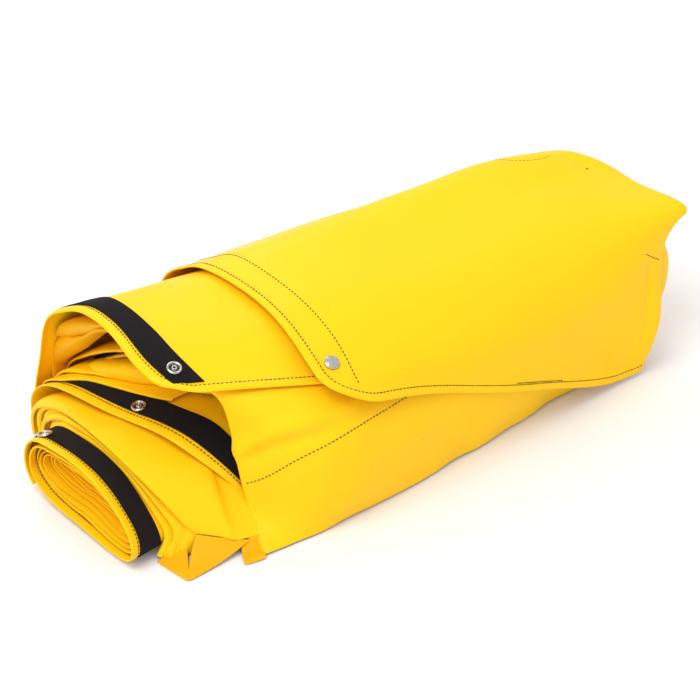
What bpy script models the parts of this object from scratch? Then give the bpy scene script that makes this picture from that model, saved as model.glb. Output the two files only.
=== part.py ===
# Welding curtain screen, taken down and rolled up: a flame-resistant coated
# fabric curtain, folded into a band and rolled into a loose bundle.
# The curtain's hemmed side edge, with its black hook-and-loop band and snap
# fasteners, shows as a spiral at the left end. The last two wraps end on top as
# loose flaps that fold back over the rear ridge.
# Units: millimetres in the control nets below, metres in the built objects.
# X runs along the bundle (open end at -X), Y to the rear, Z up, floor at Z = 0.
import bpy
import bmesh
import math
import numpy as np
from mathutils import Matrix, Vector

# ---------------------------------------------------------------- dimensions
CENTRE = (23.7, 38.4)     # plan centre of the bundle in the control nets' frame
PLY = 1.0                 # thickness of a single ply
HEM_W = 11.0              # width of a turned hem
HEM_T = 1.1               # extra thickness of the turned hem
BAND_W = 25.0             # hook-and-loop band, showing width
BAND_T = 1.5
GAP = 0.8                 # clearance between sewn layers
HINGE_CLEAR = 9.0         # a flap's side hem starts this far past its fold line
FLOOR = 0.4               # lowest cloth above the floor where the base ply is not
SNAP_D = 15.0             # line 24 press stud, diameter of the cap
SNAP_H = 3.2
RING_H = 2.2


# ------------------------------------------------------------ smooth surfaces
def basis(knots, s):
    """Weights of a natural cubic spline through values at the knots."""
    t = np.asarray(knots, float)
    n = len(t)
    h = np.diff(t)
    a = np.zeros((n, n))
    r = np.zeros((n, n))
    a[0, 0] = a[-1, -1] = 1.0
    for i in range(1, n - 1):
        a[i, i - 1] = h[i - 1]
        a[i, i] = 2.0 * (h[i - 1] + h[i])
        a[i, i + 1] = h[i]
        r[i, i - 1] = 6.0 / h[i - 1]
        r[i, i] = -6.0 / h[i - 1] - 6.0 / h[i]
        r[i, i + 1] = 6.0 / h[i]
    m = np.linalg.solve(a, r)
    s = np.clip(np.atleast_1d(np.asarray(s, float)), t[0], t[-1])
    k = np.clip(np.searchsorted(t, s, side="right") - 1, 0, n - 2)
    hk = h[k]
    e = (s - t[k]) / hk
    f = 1.0 - e
    w = np.zeros((len(s), n))
    rows = np.arange(len(s))
    w[rows, k] += f
    w[rows, k + 1] += e
    w += ((f ** 3 - f) * hk ** 2 / 6.0)[:, None] * m[k]
    w += ((e ** 3 - e) * hk ** 2 / 6.0)[:, None] * m[k + 1]
    return w


def chord_knots(points):
    """Mean chord length of a bundle of polylines, scaled to 0..1."""
    d = np.linalg.norm(np.diff(points, axis=1), axis=2).mean(axis=0)
    t = np.concatenate([[0.0], np.cumsum(d)])
    return t / t[-1]


class Sheet:
    """A smooth sheet through a coarse net; a and b are millimetres along it."""

    def __init__(self, net):
        self.net = np.array(net, float) - np.array([CENTRE[0], CENTRE[1], 0.0])
        self.ku = chord_knots(self.net.transpose(1, 0, 2))
        self.kv = chord_knots(self.net)
        s = np.linspace(0.0, 1.0, 61)
        m = np.linspace(0.0, 1.0, 7)
        wu, wv = basis(self.ku, s), basis(self.kv, m)
        p = np.einsum("ai,bj,ijk->bak", wu, wv, self.net)
        du = np.linalg.norm(np.diff(p, axis=1), axis=2).mean(axis=0)
        wu, wv = basis(self.ku, m), basis(self.kv, s)
        p = np.einsum("ai,bj,ijk->abk", wu, wv, self.net)
        dv = np.linalg.norm(np.diff(p, axis=1), axis=2).mean(axis=0)
        self.s = s
        self.la = np.concatenate([[0.0], np.cumsum(du)])
        self.lb = np.concatenate([[0.0], np.cumsum(dv)])
        self.A, self.B = self.la[-1], self.lb[-1]

    def uv(self, u, v):
        return np.einsum("ni,nj,ijk->nk", basis(self.ku, u), basis(self.kv, v), self.net)

    def at(self, a, b, n=0.0):
        a = np.atleast_1d(np.asarray(a, float))
        b = np.atleast_1d(np.asarray(b, float))
        a, b = np.broadcast_arrays(a, b)
        u = np.interp(a, self.la, self.s)
        v = np.interp(b, self.lb, self.s)
        p = self.uv(u, v)
        e = 1e-3
        du = self.uv(np.minimum(u + e, 1), v) - self.uv(np.maximum(u - e, 0), v)
        dv = self.uv(u, np.minimum(v + e, 1)) - self.uv(u, np.maximum(v - e, 0))
        nn = np.cross(dv, du)
        nn /= np.linalg.norm(nn, axis=1)[:, None]
        return p + np.asarray(n, float).reshape(-1, 1) * nn, nn

    def from_front(self, a, d, n=0.0):
        """A point at a, and d millimetres of cloth back from the front edge."""
        a = np.atleast_1d(np.asarray(a, float))
        d = np.atleast_1d(np.asarray(d, float))
        a, d = np.broadcast_arrays(a, d)
        v = np.linspace(1.0, 0.5, 26)
        b = np.zeros(len(a))
        for i in range(len(a)):
            u = np.full(len(v), np.interp(a[i], self.la, self.s))
            run = np.linalg.norm(np.diff(self.uv(u, v), axis=0), axis=1)
            run = np.concatenate([[0.0], np.cumsum(run)])
            b[i] = np.interp(np.interp(d[i], run, v), self.s, self.lb)
        return self.at(a, b, n)


# -------------------------------------------------------------- control nets
# Rows run from the left edge to the right, columns from the rear to the front.
OUTER_FLAP = [
    [(-102, 130, 165), (-101, 108, 177), (-98, 60, 182), (-99, 5, 179), (-108, -50, 168), (-114, -88, 153), (-113, -107, 143), (-110, -120, 133)],
    [(-20, 116, 165), (-20, 90, 183), (-20, 45, 187), (-20, -12, 182), (-20, -65, 168), (-22, -100, 146), (-21, -114, 127), (-20, -121, 108)],
    [(75, 100, 165), (75, 76, 185), (75, 30, 187), (78, -25, 181), (80, -80, 169), (80, -117, 140), (80, -126, 105), (80, -128, 70)],
    [(160, 85, 165), (160, 64, 186), (160, 18, 186), (165, -35, 180), (165, -90, 167), (162, -122, 138), (160, -130, 88), (160, -131, 38)],
    [(235, 73, 165), (238, 53, 186), (242, 5, 184), (250, -45, 178), (255, -98, 166), (246, -123, 136), (238, -131, 72), (230, -132, 10)],
    [(300, 61, 165), (322, 30, 183), (331, -15, 181), (337, -65, 176), (347, -112, 166), (324, -113, 131), (306, -131, 72), (278, -134, 6)],
]
OUTER_REAR = [
    [(-102, 131, 164), (-102, 160, 147), (-102, 184, 112), (-103, 198, 72), (-103, 206, 34), (-104, 208, 6)],
    [(30, 109, 164), (30, 138, 147), (30, 162, 112), (30, 178, 72), (30, 186, 34), (30, 188, 6)],
    [(165, 86, 164), (165, 112, 147), (165, 136, 112), (165, 150, 72), (165, 157, 34), (165, 159, 6)],
    [(300, 62, 164), (302, 84, 147), (306, 106, 112), (308, 120, 72), (304, 127, 34), (296, 128, 6)],
]
INNER_FLAP = [
    [(-218, 150, 162), (-218, 122, 176), (-220, 72, 178), (-226, 32, 171), (-224, 2, 162), (-222, -16, 156)],
    [(-150, 136, 160), (-150, 110, 174), (-150, 58, 174), (-150, 8, 167), (-150, -28, 157), (-150, -52, 149)],
    [(-60, 117, 158), (-60, 88, 174), (-60, 42, 176), (-60, -10, 170), (-60, -55, 155), (-60, -88, 136)],
    [(60, 91, 156), (60, 64, 173), (60, 22, 177), (60, -26, 171), (60, -72, 157), (60, -104, 130)],
    [(180, 66, 153), (180, 44, 172), (180, 6, 175), (180, -36, 169), (180, -80, 156), (180, -108, 128)],
    [(285, 44, 150), (285, 24, 169), (285, -14, 171), (285, -54, 165), (285, -94, 152), (285, -112, 124)],
]
INNER_REAR = [
    [(-218, 151, 161), (-220, 172, 146), (-220, 188, 114), (-221, 195, 84), (-222, 205, 48), (-223, 212, 6)],
    [(-110, 128, 158), (-110, 150, 142), (-110, 168, 112), (-111, 182, 78), (-112, 192, 42), (-112, 196, 6)],
    [(30, 98, 155), (30, 124, 140), (30, 148, 110), (30, 164, 74), (30, 173, 40), (30, 176, 6)],
    [(160, 71, 152), (160, 98, 138), (160, 122, 108), (160, 136, 72), (160, 144, 38), (160, 147, 6)],
    [(285, 45, 149), (287, 68, 138), (290, 92, 108), (292, 106, 72), (290, 112, 38), (285, 114, 6)],
]
FRONT_WRAP = [
    [(-188, 46, 150), (-187, 2, 149), (-186, -33, 140), (-180, -40, 106), (-181, -54, 60), (-182, -72, 20), (-191, -101, 2)],
    [(-145, 34, 148), (-145, -14, 147), (-145, -66, 138), (-144, -92, 106), (-144, -102, 60), (-144, -106, 22), (-145, -107, 2)],
    [(-60, 20, 146), (-60, -30, 144), (-60, -86, 128), (-60, -113, 98), (-60, -119, 58), (-60, -117, 22), (-60, -113, 2)],
    [(60, 0, 146), (60, -44, 145), (60, -92, 128), (60, -115, 95), (60, -120, 56), (60, -117, 22), (60, -113, 2)],
    [(180, -10, 144), (180, -56, 143), (180, -96, 126), (180, -113, 92), (180, -116, 55), (180, -112, 22), (180, -107, 2)],
    [(250, -18, 142), (250, -62, 140), (250, -100, 120), (250, -113, 88), (250, -114, 53), (250, -110, 22), (250, -106, 2)],
]
MIDDLE_WRAP = [
    [(-238, 200, 8), (-240, 197, 42), (-237, 174, 67), (-236, 92, 87), (-222, 19, 91), (-207, -20, 77), (-178, -50, 38), (-172, -54, 27)],
    [(-186, 184, 8), (-188, 184, 44), (-188, 152, 74), (-184, 84, 94), (-172, 14, 98), (-158, -22, 86), (-150, -58, 42), (-148, -62, 27)],
    [(-60, 172, 8), (-60, 170, 46), (-60, 146, 74), (-60, 84, 93), (-60, 10, 98), (-60, -66, 88), (-60, -96, 46), (-60, -98, 27)],
    [(110, 146, 8), (110, 144, 42), (110, 122, 70), (110, 70, 87), (110, 4, 91), (110, -64, 82), (110, -94, 44), (110, -96, 27)],
    [(250, 116, 8), (250, 112, 38), (250, 92, 66), (250, 52, 80), (250, 0, 84), (250, -60, 76), (250, -86, 42), (250, -88, 27)],
]
LOWER_WRAP = [
    [(-246, 192, 8), (-247, 188, 36), (-250, 158, 58), (-252, 124, 72), (-262, 34, 82), (-258, -14, 67), (-248, -38, 44), (-235, -53, 21)],
    [(-238, 191, 8), (-240, 188, 39), (-243, 160, 62), (-244, 112, 76), (-246, 38, 84), (-238, -8, 74), (-220, -40, 54), (-214, -62, 22)],
    [(-196, 178, 8), (-197, 176, 40), (-198, 148, 62), (-196, 86, 79), (-188, 24, 84), (-182, -4, 76), (-192, -30, 58), (-202, -64, 18)],
]
LOWER_CORNER = [
    [(-266, -48, 1.6), (-268, -64, 1.8), (-268, -80, 1.6)],
    [(-246, -50, 8), (-242, -64, 9), (-236, -81, 3)],
    [(-226, -57, 16), (-216, -70, 10), (-204, -84, 2)],
]
# The core roll: one turn of its flattened section, rear to top to front to floor.
CORE_TURN = [
    (-300, [(116, 12), (127, 36), (117, 63), (80, 77), (42, 81), (4, 75), (-27, 56), (-42, 34), (-40, 12), (-18, 2.2), (36, 2.2), (90, 3)]),
    (-266, [(122, 12), (137, 36), (125, 57), (94, 68), (40, 70), (6, 59), (-20, 40), (-35, 22), (-36, 9), (-18, 2.2), (36, 2.2), (94, 3)]),
    (-200, [(122, 12), (134, 36), (122, 56), (92, 67), (40, 70), (4, 62), (-22, 44), (-36, 25), (-37, 10), (-18, 2.2), (36, 2.2), (94, 3)]),
    (-40, [(104, 12), (116, 36), (106, 56), (76, 67), (24, 70), (-14, 64), (-42, 46), (-56, 26), (-56, 10), (-38, 2.2), (16, 2.2), (76, 3)]),
    (236, [(84, 12), (94, 34), (86, 52), (58, 62), (8, 65), (-28, 60), (-54, 44), (-66, 26), (-66, 10), (-50, 2.2), (0, 2.2), (58, 3)]),
]
CORE_MID = (43.0, 36.0)
CORE_PITCH = 6.5          # spacing of the turns
CORE_TURNS = 2.3
# Section points of the core that face the eight columns of the lower wrap.
FAN_INNER = [(124, 12), (137, 36), (126, 56), (98, 66), (34, 69.5), (2, 57), (-20, 40), (-37, 18)]


# ------------------------------------------------------------------- helpers
def clear_scene():
    for ob in list(bpy.data.objects):
        bpy.data.objects.remove(ob, do_unlink=True)


def material(name, rgb, rough, metal=0.0):
    m = bpy.data.materials.new(name)
    m.use_nodes = True
    p = m.node_tree.nodes["Principled BSDF"]
    p.inputs["Base Color"].default_value = (*rgb, 1.0)
    p.inputs["Roughness"].default_value = rough
    p.inputs["Metallic"].default_value = metal
    return m


FABRIC = (0.98, 0.68, 0.02)
BLACK = (0.018, 0.015, 0.016)
STEEL = (0.72, 0.70, 0.67)


def finish_object(ob, name, coll, parent, colour, rough, metal=0.0, smooth=True):
    ob.name = name
    ob.data.name = name
    for c in list(ob.users_collection):
        c.objects.unlink(ob)
    coll.objects.link(ob)
    ob.data.materials.clear()
    ob.data.materials.append(material(name, colour, rough, metal))
    if smooth:
        ob.data.shade_smooth()
        ob.data.set_sharp_from_angle(angle=math.radians(40))
    if parent is not None:
        ob.parent = parent
        ob.matrix_parent_inverse = parent.matrix_world.inverted()
    return ob


def mapped_grid(ns, nt, fn):
    """A grid whose vertices are placed by fn(s, t), s and t in 0..1."""
    bpy.ops.mesh.primitive_grid_add(x_subdivisions=ns, y_subdivisions=nt, size=2.0)
    ob = bpy.context.object
    me = ob.data
    co = np.zeros(len(me.vertices) * 3)
    me.vertices.foreach_get("co", co)
    co = co.reshape(-1, 3)
    s = np.clip((co[:, 0] + 1.0) / 2.0, 0, 1)
    t = np.clip((1.0 - co[:, 1]) / 2.0, 0, 1)
    p = fn(s, t) / 1000.0
    me.vertices.foreach_set("co", p.astype(np.float64).ravel())
    me.update()
    return ob


def solidify(ob, t):
    m = ob.modifiers.new("ply", "SOLIDIFY")
    m.thickness = t / 1000.0
    m.offset = -1.0
    m.use_even_offset = False
    return ob


def stations(values, s):
    v = np.asarray(values, float)
    return np.interp(s * (len(v) - 1), np.arange(len(v)), v)


def corner_start(b, length, corner):
    """Where a row of cloth starts when its front left corner is rounded."""
    ra, rb = corner
    k = np.clip((b - (length - rb)) / rb, 0.0, 1.0)
    return ra * (1.0 - np.sqrt(np.clip(1.0 - k * k, 0.0, 1.0)))


def corner_rows(length, corner, n):
    """Row stations: even up to the corner, then closer round it."""
    rb = corner[1]
    return list(np.linspace(0, length - rb, n)) + [length - rb * (1.0 - k)
                                                  for k in (0.3, 0.55, 0.75, 0.9, 1.0)]


def panel(name, sheet, a_st, b_st, coll, parent, thick=PLY, offset=0.0, corner=None,
          colour=FABRIC, rough=0.45):
    """A ply of the sheet over the given stations."""
    def fn(s, t):
        a = stations(a_st, s)
        b = stations(b_st, t)
        if corner is not None:
            lo = corner_start(b, sheet.B, corner)
            a = np.maximum(a, lo + (a - a_st[0]) * 0.2)
        return sheet.at(a, b, offset)[0]
    ob = mapped_grid(len(a_st) - 1, len(b_st) - 1, fn)
    solidify(ob, thick)
    return finish_object(ob, name, coll, parent, colour, rough)


def front_hem(name, sheet, a_st, coll, parent):
    """The turned hem along a flap's front edge."""
    def fn(s, t):
        return sheet.from_front(stations(a_st, s), stations([HEM_W, 6.0, 0.6], t), GAP + HEM_T)[0]
    ob = mapped_grid(len(a_st) - 1, 2, fn)
    solidify(ob, HEM_T)
    return finish_object(ob, name, coll, parent, FABRIC, 0.45)


def disc_profile(d, h, kind):
    """Half profile of a snap part, outer side listed from top to bottom."""
    r = d / 2.0
    if kind == "cap":
        return [(0.0, h), (r * 0.45, h * 0.97), (r * 0.8, h * 0.78), (r * 0.97, h * 0.42),
                (r, h * 0.15), (r * 0.96, 0.0), (0.0, 0.0)]
    if kind == "ring":
        return [(r * 0.30, h * 0.35), (r * 0.34, h), (r * 0.55, h), (r * 0.62, h * 0.45),
                (r * 0.78, h * 0.45), (r * 0.9, h * 0.7), (r, h * 0.35), (r * 0.98, 0.0),
                (r * 0.30, 0.0), (r * 0.30, h * 0.35)]
    return [(0.0, h), (r * 0.5, h), (r * 0.56, h * 0.4), (r, h * 0.3), (r, 0.0), (0.0, 0.0)]


def seat_snap(name, seat, d, h, kind, coll, parent, flip=False):
    """A turned snap part on a seat, which is a point and a normal."""
    me = bpy.data.meshes.new(name)
    pts = disc_profile(d, h, kind)
    bm = bmesh.new()
    vs = [bm.verts.new((x / 1000.0, 0.0, z / 1000.0)) for x, z in
          (pts[:-1] if pts[0] == pts[-1] else pts)]
    for i in range(len(vs) - 1):
        bm.edges.new((vs[i], vs[i + 1]))
    if pts[0] == pts[-1]:
        bm.edges.new((vs[-1], vs[0]))
    bm.to_mesh(me)
    bm.free()
    ob = bpy.data.objects.new(name, me)
    bpy.context.scene.collection.objects.link(ob)
    m = ob.modifiers.new("turn", "SCREW")
    m.axis = "Z"
    m.angle = 2 * math.pi
    m.steps = 20
    m.render_steps = 20
    m.use_merge_vertices = True
    m.merge_threshold = 0.00001
    m.use_normal_calculate = False
    p, nn = seat
    up = Vector(nn[0]) * (-1.0 if flip else 1.0)
    q = up.to_track_quat("Z", "Y")
    ob.matrix_world = Matrix.Translation(Vector(p[0]) / 1000.0) @ q.to_matrix().to_4x4()
    return finish_object(ob, name, coll, parent, STEEL, 0.28, 1.0)


def hinge_empty(name, p, q, coll):
    """An empty on a fold line, its X axis along the line from q to p."""
    e = bpy.data.objects.new(name, None)
    coll.objects.link(e)
    p = Vector((p[0] - CENTRE[0], p[1] - CENTRE[1], p[2])) / 1000.0
    q = Vector((q[0] - CENTRE[0], q[1] - CENTRE[1], q[2])) / 1000.0
    x = (p - q).normalized()
    z = Vector((0, 0, 1))
    y = z.cross(x).normalized()
    z = x.cross(y)
    m = Matrix((x, y, z)).transposed().to_4x4()
    m.translation = p
    e.matrix_world = m
    bpy.context.view_layer.update()
    return e


def pad(name, x0, x1, front, rear, top, thick, coll, parent, nx=7, ny=6, skew=0.0):
    """A folded block of plies: front(x), rear(x) and top(x, y) give its shape."""
    def fn(s, t):
        y_mid = 1.0 - t
        x = x0 + (x1 - x0) * s
        x = x + skew * (y_mid - 0.5) * (1.0 - s)
        y = rear(x) + (front(x) - rear(x)) * t
        z = top(x, y)
        return np.stack([x - CENTRE[0], y - CENTRE[1], z], axis=1)
    ob = mapped_grid(nx, ny, fn)
    solidify(ob, thick)
    m = ob.modifiers.new("soft_edge", "BEVEL")
    m.width = thick * 0.42 / 1000.0
    m.segments = 2
    m.limit_method = "ANGLE"
    m.angle_limit = math.radians(50)
    return finish_object(ob, name, coll, parent, FABRIC, 0.45)


class Core:
    """The flattened roll; turn counts from the rear, over the top."""

    def __init__(self):
        n = len(CORE_TURN[0][1])
        rows = []
        for x, sec in CORE_TURN:
            idx = list(range(n - 3, n)) + list(range(n)) + [0, 1, 2, 3]
            rows.append([(x, sec[i][0], sec[i][1]) for i in idx])
        self.sheet = Sheet(rows)
        self.v0, self.v1 = self.sheet.kv[3], self.sheet.kv[3 + n]
        self.xs = np.array([x for x, _ in CORE_TURN], float)
        self.x0, self.x1 = self.xs[0], self.xs[-1]

    def point(self, x, turn, n=0.0):
        x = np.atleast_1d(np.asarray(x, float))
        turn = np.atleast_1d(np.asarray(turn, float))
        x, turn = np.broadcast_arrays(x, turn)
        u = np.interp(x, self.xs, self.sheet.ku)
        f = turn - np.floor(turn)
        v = self.v0 + (self.v1 - self.v0) * f
        e = 1e-3
        p = self.sheet.uv(u, v)
        du = self.sheet.uv(np.minimum(u + e, 1), v) - self.sheet.uv(np.maximum(u - e, 0), v)
        dv = self.sheet.uv(u, v + e) - self.sheet.uv(u, v - e)
        nn = np.cross(dv, du)
        nn /= np.linalg.norm(nn, axis=1)[:, None]
        inset = CORE_PITCH * turn
        drift = np.interp(x, [-200.0, 236.0], [0.0, -38.0])
        cy = CORE_MID[0] - CENTRE[1] + drift
        cz = CORE_MID[1]
        q = p.copy()
        q[:, 1] = cy + (p[:, 1] - cy) * (1.0 - inset / 86.0)
        q[:, 2] = cz + (p[:, 2] - cz) * (1.0 - inset / 36.0)
        return q + np.asarray(n, float).reshape(-1, 1) * nn, nn


def ramp(x, a, b):
    k = np.clip((x - a) / (b - a), 0.0, 1.0)
    return k * k * (3 - 2 * k)


# --------------------------------------------------------------------- build
def build():
    clear_scene()
    coll = bpy.data.collections.new("welding_curtain_screen")
    bpy.context.scene.collection.children.link(coll)
    cx, cy = CENTRE

    # --- base ply on the floor, a flat face for the bundle to rest on
    def base(s, t):
        x = -190.0 + 470.0 * s
        rear = 168.0 - 0.17 * (x + 190.0)
        y = rear + (-92.0 - rear) * t
        return np.stack([x - cx, y - cy, 0 * x + 1.2], axis=1)
    ob = mapped_grid(4, 3, base)
    solidify(ob, 1.2)
    finish_object(ob, "base_ply", coll, None, FABRIC, 0.45)

    # --- core roll: the hemmed side edge rolled into a flattened tube
    core = Core()
    x_st = [core.x0, core.x0 + 12, core.x0 + 24, core.x0 + 37, core.x0 + 60, -200, -40, core.x1]
    n_turn = 46
    step = CORE_TURNS / n_turn
    ob = mapped_grid(len(x_st) - 1, n_turn,
                     lambda s, t: core.point(stations(x_st, s), t * CORE_TURNS)[0])
    solidify(ob, PLY)
    finish_object(ob, "core_roll", coll, None, FABRIC, 0.45)
    for name, xa, xb, cells, thick, col, rough in (
            ("core_side_hem", core.x0 + 0.5, core.x0 + HEM_W, 18, HEM_T, FABRIC, 0.45),
            ("core_loop_band", core.x0 + 12.0, core.x0 + 12.0 + BAND_W, 11, BAND_T, BLACK, 0.95)):
        ob = mapped_grid(2, cells, lambda s, t, xa=xa, xb=xb, cells=cells, thick=thick:
                         core.point(xa + (xb - xa) * s, t * cells * step, GAP + thick)[0])
        solidify(ob, thick)
        finish_object(ob, name, coll, None, col, rough)
    for k, (top, y0, y1) in enumerate([(50.5, 16, 80), (40.5, 6, 90), (30.5, 6, 86)]):
        pad("core_inner_fold_%d" % (k + 1), core.x0 + 10 + 7 * k, core.x1 - 8,
            lambda x, y0=y0: y0 + np.interp(x, [-200, 236], [0, -38]),
            lambda x, y1=y1: y1 + np.interp(x, [-200, 236], [0, -38]),
            lambda x, y, z=top: z + 0 * x, 9.0, coll, None, nx=3, ny=2)

    # --- layers fanned between the core and the lower wrap
    lower = Sheet(LOWER_WRAP)
    for k, w in enumerate((0.2, 0.4, 0.6, 0.8)):
        rows = []
        for i, x in enumerate((-260.0, -232.0, -204.0)):
            outer = LOWER_WRAP[min(i, 2)]
            row = []
            for j in range(8):
                iy, iz = FAN_INNER[j]
                ox, oy, oz = outer[j]
                ox = ox + (4.0 if i == 0 else 0.0)
                if i == 2:
                    ox = min(ox, -204.0)
                row.append((x + (ox - x) * w, iy + (oy - iy) * w, iz + (oz - iz) * w))
            rows.append(row)
        sh = Sheet(rows)
        panel("fan_fold_%d" % (k + 1), sh, np.linspace(0, sh.A, 4), np.linspace(0, sh.B, 15),
              coll, None)
    panel("lower_wrap", lower, np.linspace(0, lower.A, 5), np.linspace(0, lower.B, 15), coll, None)
    corner = Sheet(LOWER_CORNER)
    panel("lower_wrap_corner", corner, np.linspace(0, corner.A, 4), np.linspace(0, corner.B, 4),
          coll, None)

    # --- middle wrap with its hemmed edge, loop band and snap
    mid = Sheet(MIDDLE_WRAP)
    b_st = np.linspace(0, mid.B, 17)
    a_st = [0, 12, 42, 110, 230, mid.A - 80, mid.A]
    panel("middle_wrap", mid, a_st, b_st, coll, None)
    panel("middle_side_hem", mid, [0.5, HEM_W], b_st[1:], coll, None, HEM_T, GAP + HEM_T)
    panel("middle_loop_band", mid, [12.0, 12.0 + BAND_W], b_st[2:], coll, None, BAND_T, GAP + BAND_T,
          colour=BLACK, rough=0.95)

    # --- folded stack that fills the middle of the bundle
    def rear_line(d):
        return lambda x: 136.0 - d - 0.194 * x

    def front_line(d):
        return lambda x: -86.0 + d + (58.0) * (1.0 - ramp(x, -190.0, -110.0))
    for k, (x0, top, thick, f, r) in enumerate([(-184, 120, 14, 4, 6), (-172, 137, 13, 22, 18)]):
        pad("stack_fold_%d" % (k + 1), x0, 252, front_line(f), rear_line(r),
            lambda x, y, z=top: z - 3.0 * ((y - 30.0 + 0.17 * x) / 90.0) ** 2, thick, coll, None,
            nx=7, ny=5)
    pad("stack_fold_3", -190, 252, lambda x: 40.0 - 0.15 * x, rear_line(50),
        lambda x, y: 156.0 + 0 * y, 14, coll, None, nx=6, ny=2)

    # --- folded ends that close the bundle at the right
    for k, (x1, z, thick, y0, y1) in enumerate([
            (300, 68, 60, -88, 92), (322, 124, 50, -100, 78), (318, 148, 20, -86, 36)]):
        pad("end_fold_%d" % (k + 1), 256, x1,
            lambda x, y0=y0: y0 + 0 * x, lambda x, y1=y1: y1 + 0 * x,
            lambda x, y, z=z: z + 0 * x, thick, coll, None, nx=2, ny=3)

    # --- wraps around the bundle
    front = Sheet(FRONT_WRAP)
    panel("front_wrap", front, np.linspace(0, front.A, 10), np.linspace(0, front.B, 11), coll, None)
    in_rear = Sheet(INNER_REAR)
    panel("inner_rear_wrap", in_rear, np.linspace(0, in_rear.A, 8), np.linspace(0, in_rear.B, 8),
          coll, None)
    out_rear = Sheet(OUTER_REAR)
    panel("outer_rear_wrap", out_rear, np.linspace(0, out_rear.A, 7), np.linspace(0, out_rear.B, 8),
          coll, None)

    # --- inner flap
    pivot_in = hinge_empty("inner_flap_pivot", INNER_FLAP[0][0], INNER_FLAP[-1][0], coll)
    fin = Sheet(INNER_FLAP)
    corner_in = (24.0, 34.0)
    b_st = corner_rows(fin.B, corner_in, 9)
    a_st = [0, 12, 24, 37] + list(np.linspace(95, fin.A, 7))
    panel("inner_flap_panel", fin, a_st, b_st, coll, pivot_in, corner=corner_in)
    panel("inner_flap_side_hem", fin, [0.5, HEM_W], [HINGE_CLEAR] + b_st[1:9], coll, pivot_in, HEM_T,
          GAP + HEM_T)
    panel("inner_flap_loop_band", fin, [12.0, 24.0, 37.0], b_st[1:9], coll, pivot_in, BAND_T,
          GAP + BAND_T, colour=BLACK, rough=0.95)
    front_hem("inner_flap_front_hem", fin, a_st[3:], coll, pivot_in)

    # --- outer flap, its reverse face out
    pivot_out = hinge_empty("outer_flap_pivot", OUTER_FLAP[0][0], (300, 62, 165), coll)
    fout = Sheet(OUTER_FLAP)
    corner_out = (50.0, 100.0)
    b_st = corner_rows(fout.B, corner_out, 11)
    a_st = [0, 12, 24, 37, 60] + list(np.linspace(100, fout.A, 9))
    panel("outer_flap_panel", fout, a_st, b_st, coll, pivot_out, corner=corner_out)
    panel("outer_flap_side_hem", fout, [0.5, HEM_W], [HINGE_CLEAR] + b_st[1:11], coll, pivot_out,
          HEM_T, GAP + HEM_T)
    front_hem("outer_flap_front_hem", fout, a_st[4:], coll, pivot_out)
    panel("outer_flap_hook_band", fout, [12.0, 24.0, 37.0], b_st[1:10], coll, pivot_out, BAND_T,
          -(PLY + GAP), colour=BLACK, rough=0.95)

    # --- snap fasteners
    top = GAP + BAND_T + 0.8
    ring = ("core_snap_ring", core.point(core.x0 + 14, 0.155, top + 0.6))
    seat_snap(ring[0], ring[1], SNAP_D, RING_H, "ring", coll, None)
    seat_snap("middle_snap_ring", mid.at(17, 159, top), SNAP_D, RING_H, "ring", coll, None)
    seat_snap("inner_flap_snap_ring", fin.at(15, 152, top), SNAP_D, RING_H, "ring", coll, pivot_in)
    seat_snap("outer_flap_snap_cap", fout.at(20, 214, 0.9), SNAP_D, SNAP_H, "cap", coll, pivot_out)
    seat_snap("outer_flap_snap_socket", fout.at(20, 216, -(PLY + 0.9)), 13.0, 3.0, "socket", coll,
              pivot_out, flip=True)
    return coll


if __name__ == "__main__":
    build()
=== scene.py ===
# Looks of the rolled welding curtain screen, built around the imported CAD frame.
import bpy
import math
import numpy as np
from mathutils import Vector, Matrix


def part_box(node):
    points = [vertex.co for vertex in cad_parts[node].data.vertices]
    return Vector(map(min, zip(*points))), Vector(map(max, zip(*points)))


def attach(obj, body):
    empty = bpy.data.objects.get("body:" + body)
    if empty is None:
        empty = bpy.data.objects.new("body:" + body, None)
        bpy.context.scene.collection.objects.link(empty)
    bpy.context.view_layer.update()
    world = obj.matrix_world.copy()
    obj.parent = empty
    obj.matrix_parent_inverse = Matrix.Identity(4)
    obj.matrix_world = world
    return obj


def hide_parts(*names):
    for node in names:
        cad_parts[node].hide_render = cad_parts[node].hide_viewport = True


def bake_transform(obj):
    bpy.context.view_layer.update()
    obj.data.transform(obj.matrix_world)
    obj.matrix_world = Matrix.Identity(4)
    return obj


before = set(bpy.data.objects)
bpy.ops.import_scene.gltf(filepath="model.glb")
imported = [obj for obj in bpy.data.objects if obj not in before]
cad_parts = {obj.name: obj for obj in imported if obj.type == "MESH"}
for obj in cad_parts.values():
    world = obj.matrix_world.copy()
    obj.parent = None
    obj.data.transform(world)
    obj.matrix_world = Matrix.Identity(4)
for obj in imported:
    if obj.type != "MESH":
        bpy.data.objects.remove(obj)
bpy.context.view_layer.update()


CX, CY = 23.7, 38.4          # plan centre of the bundle in the control nets' frame


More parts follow.
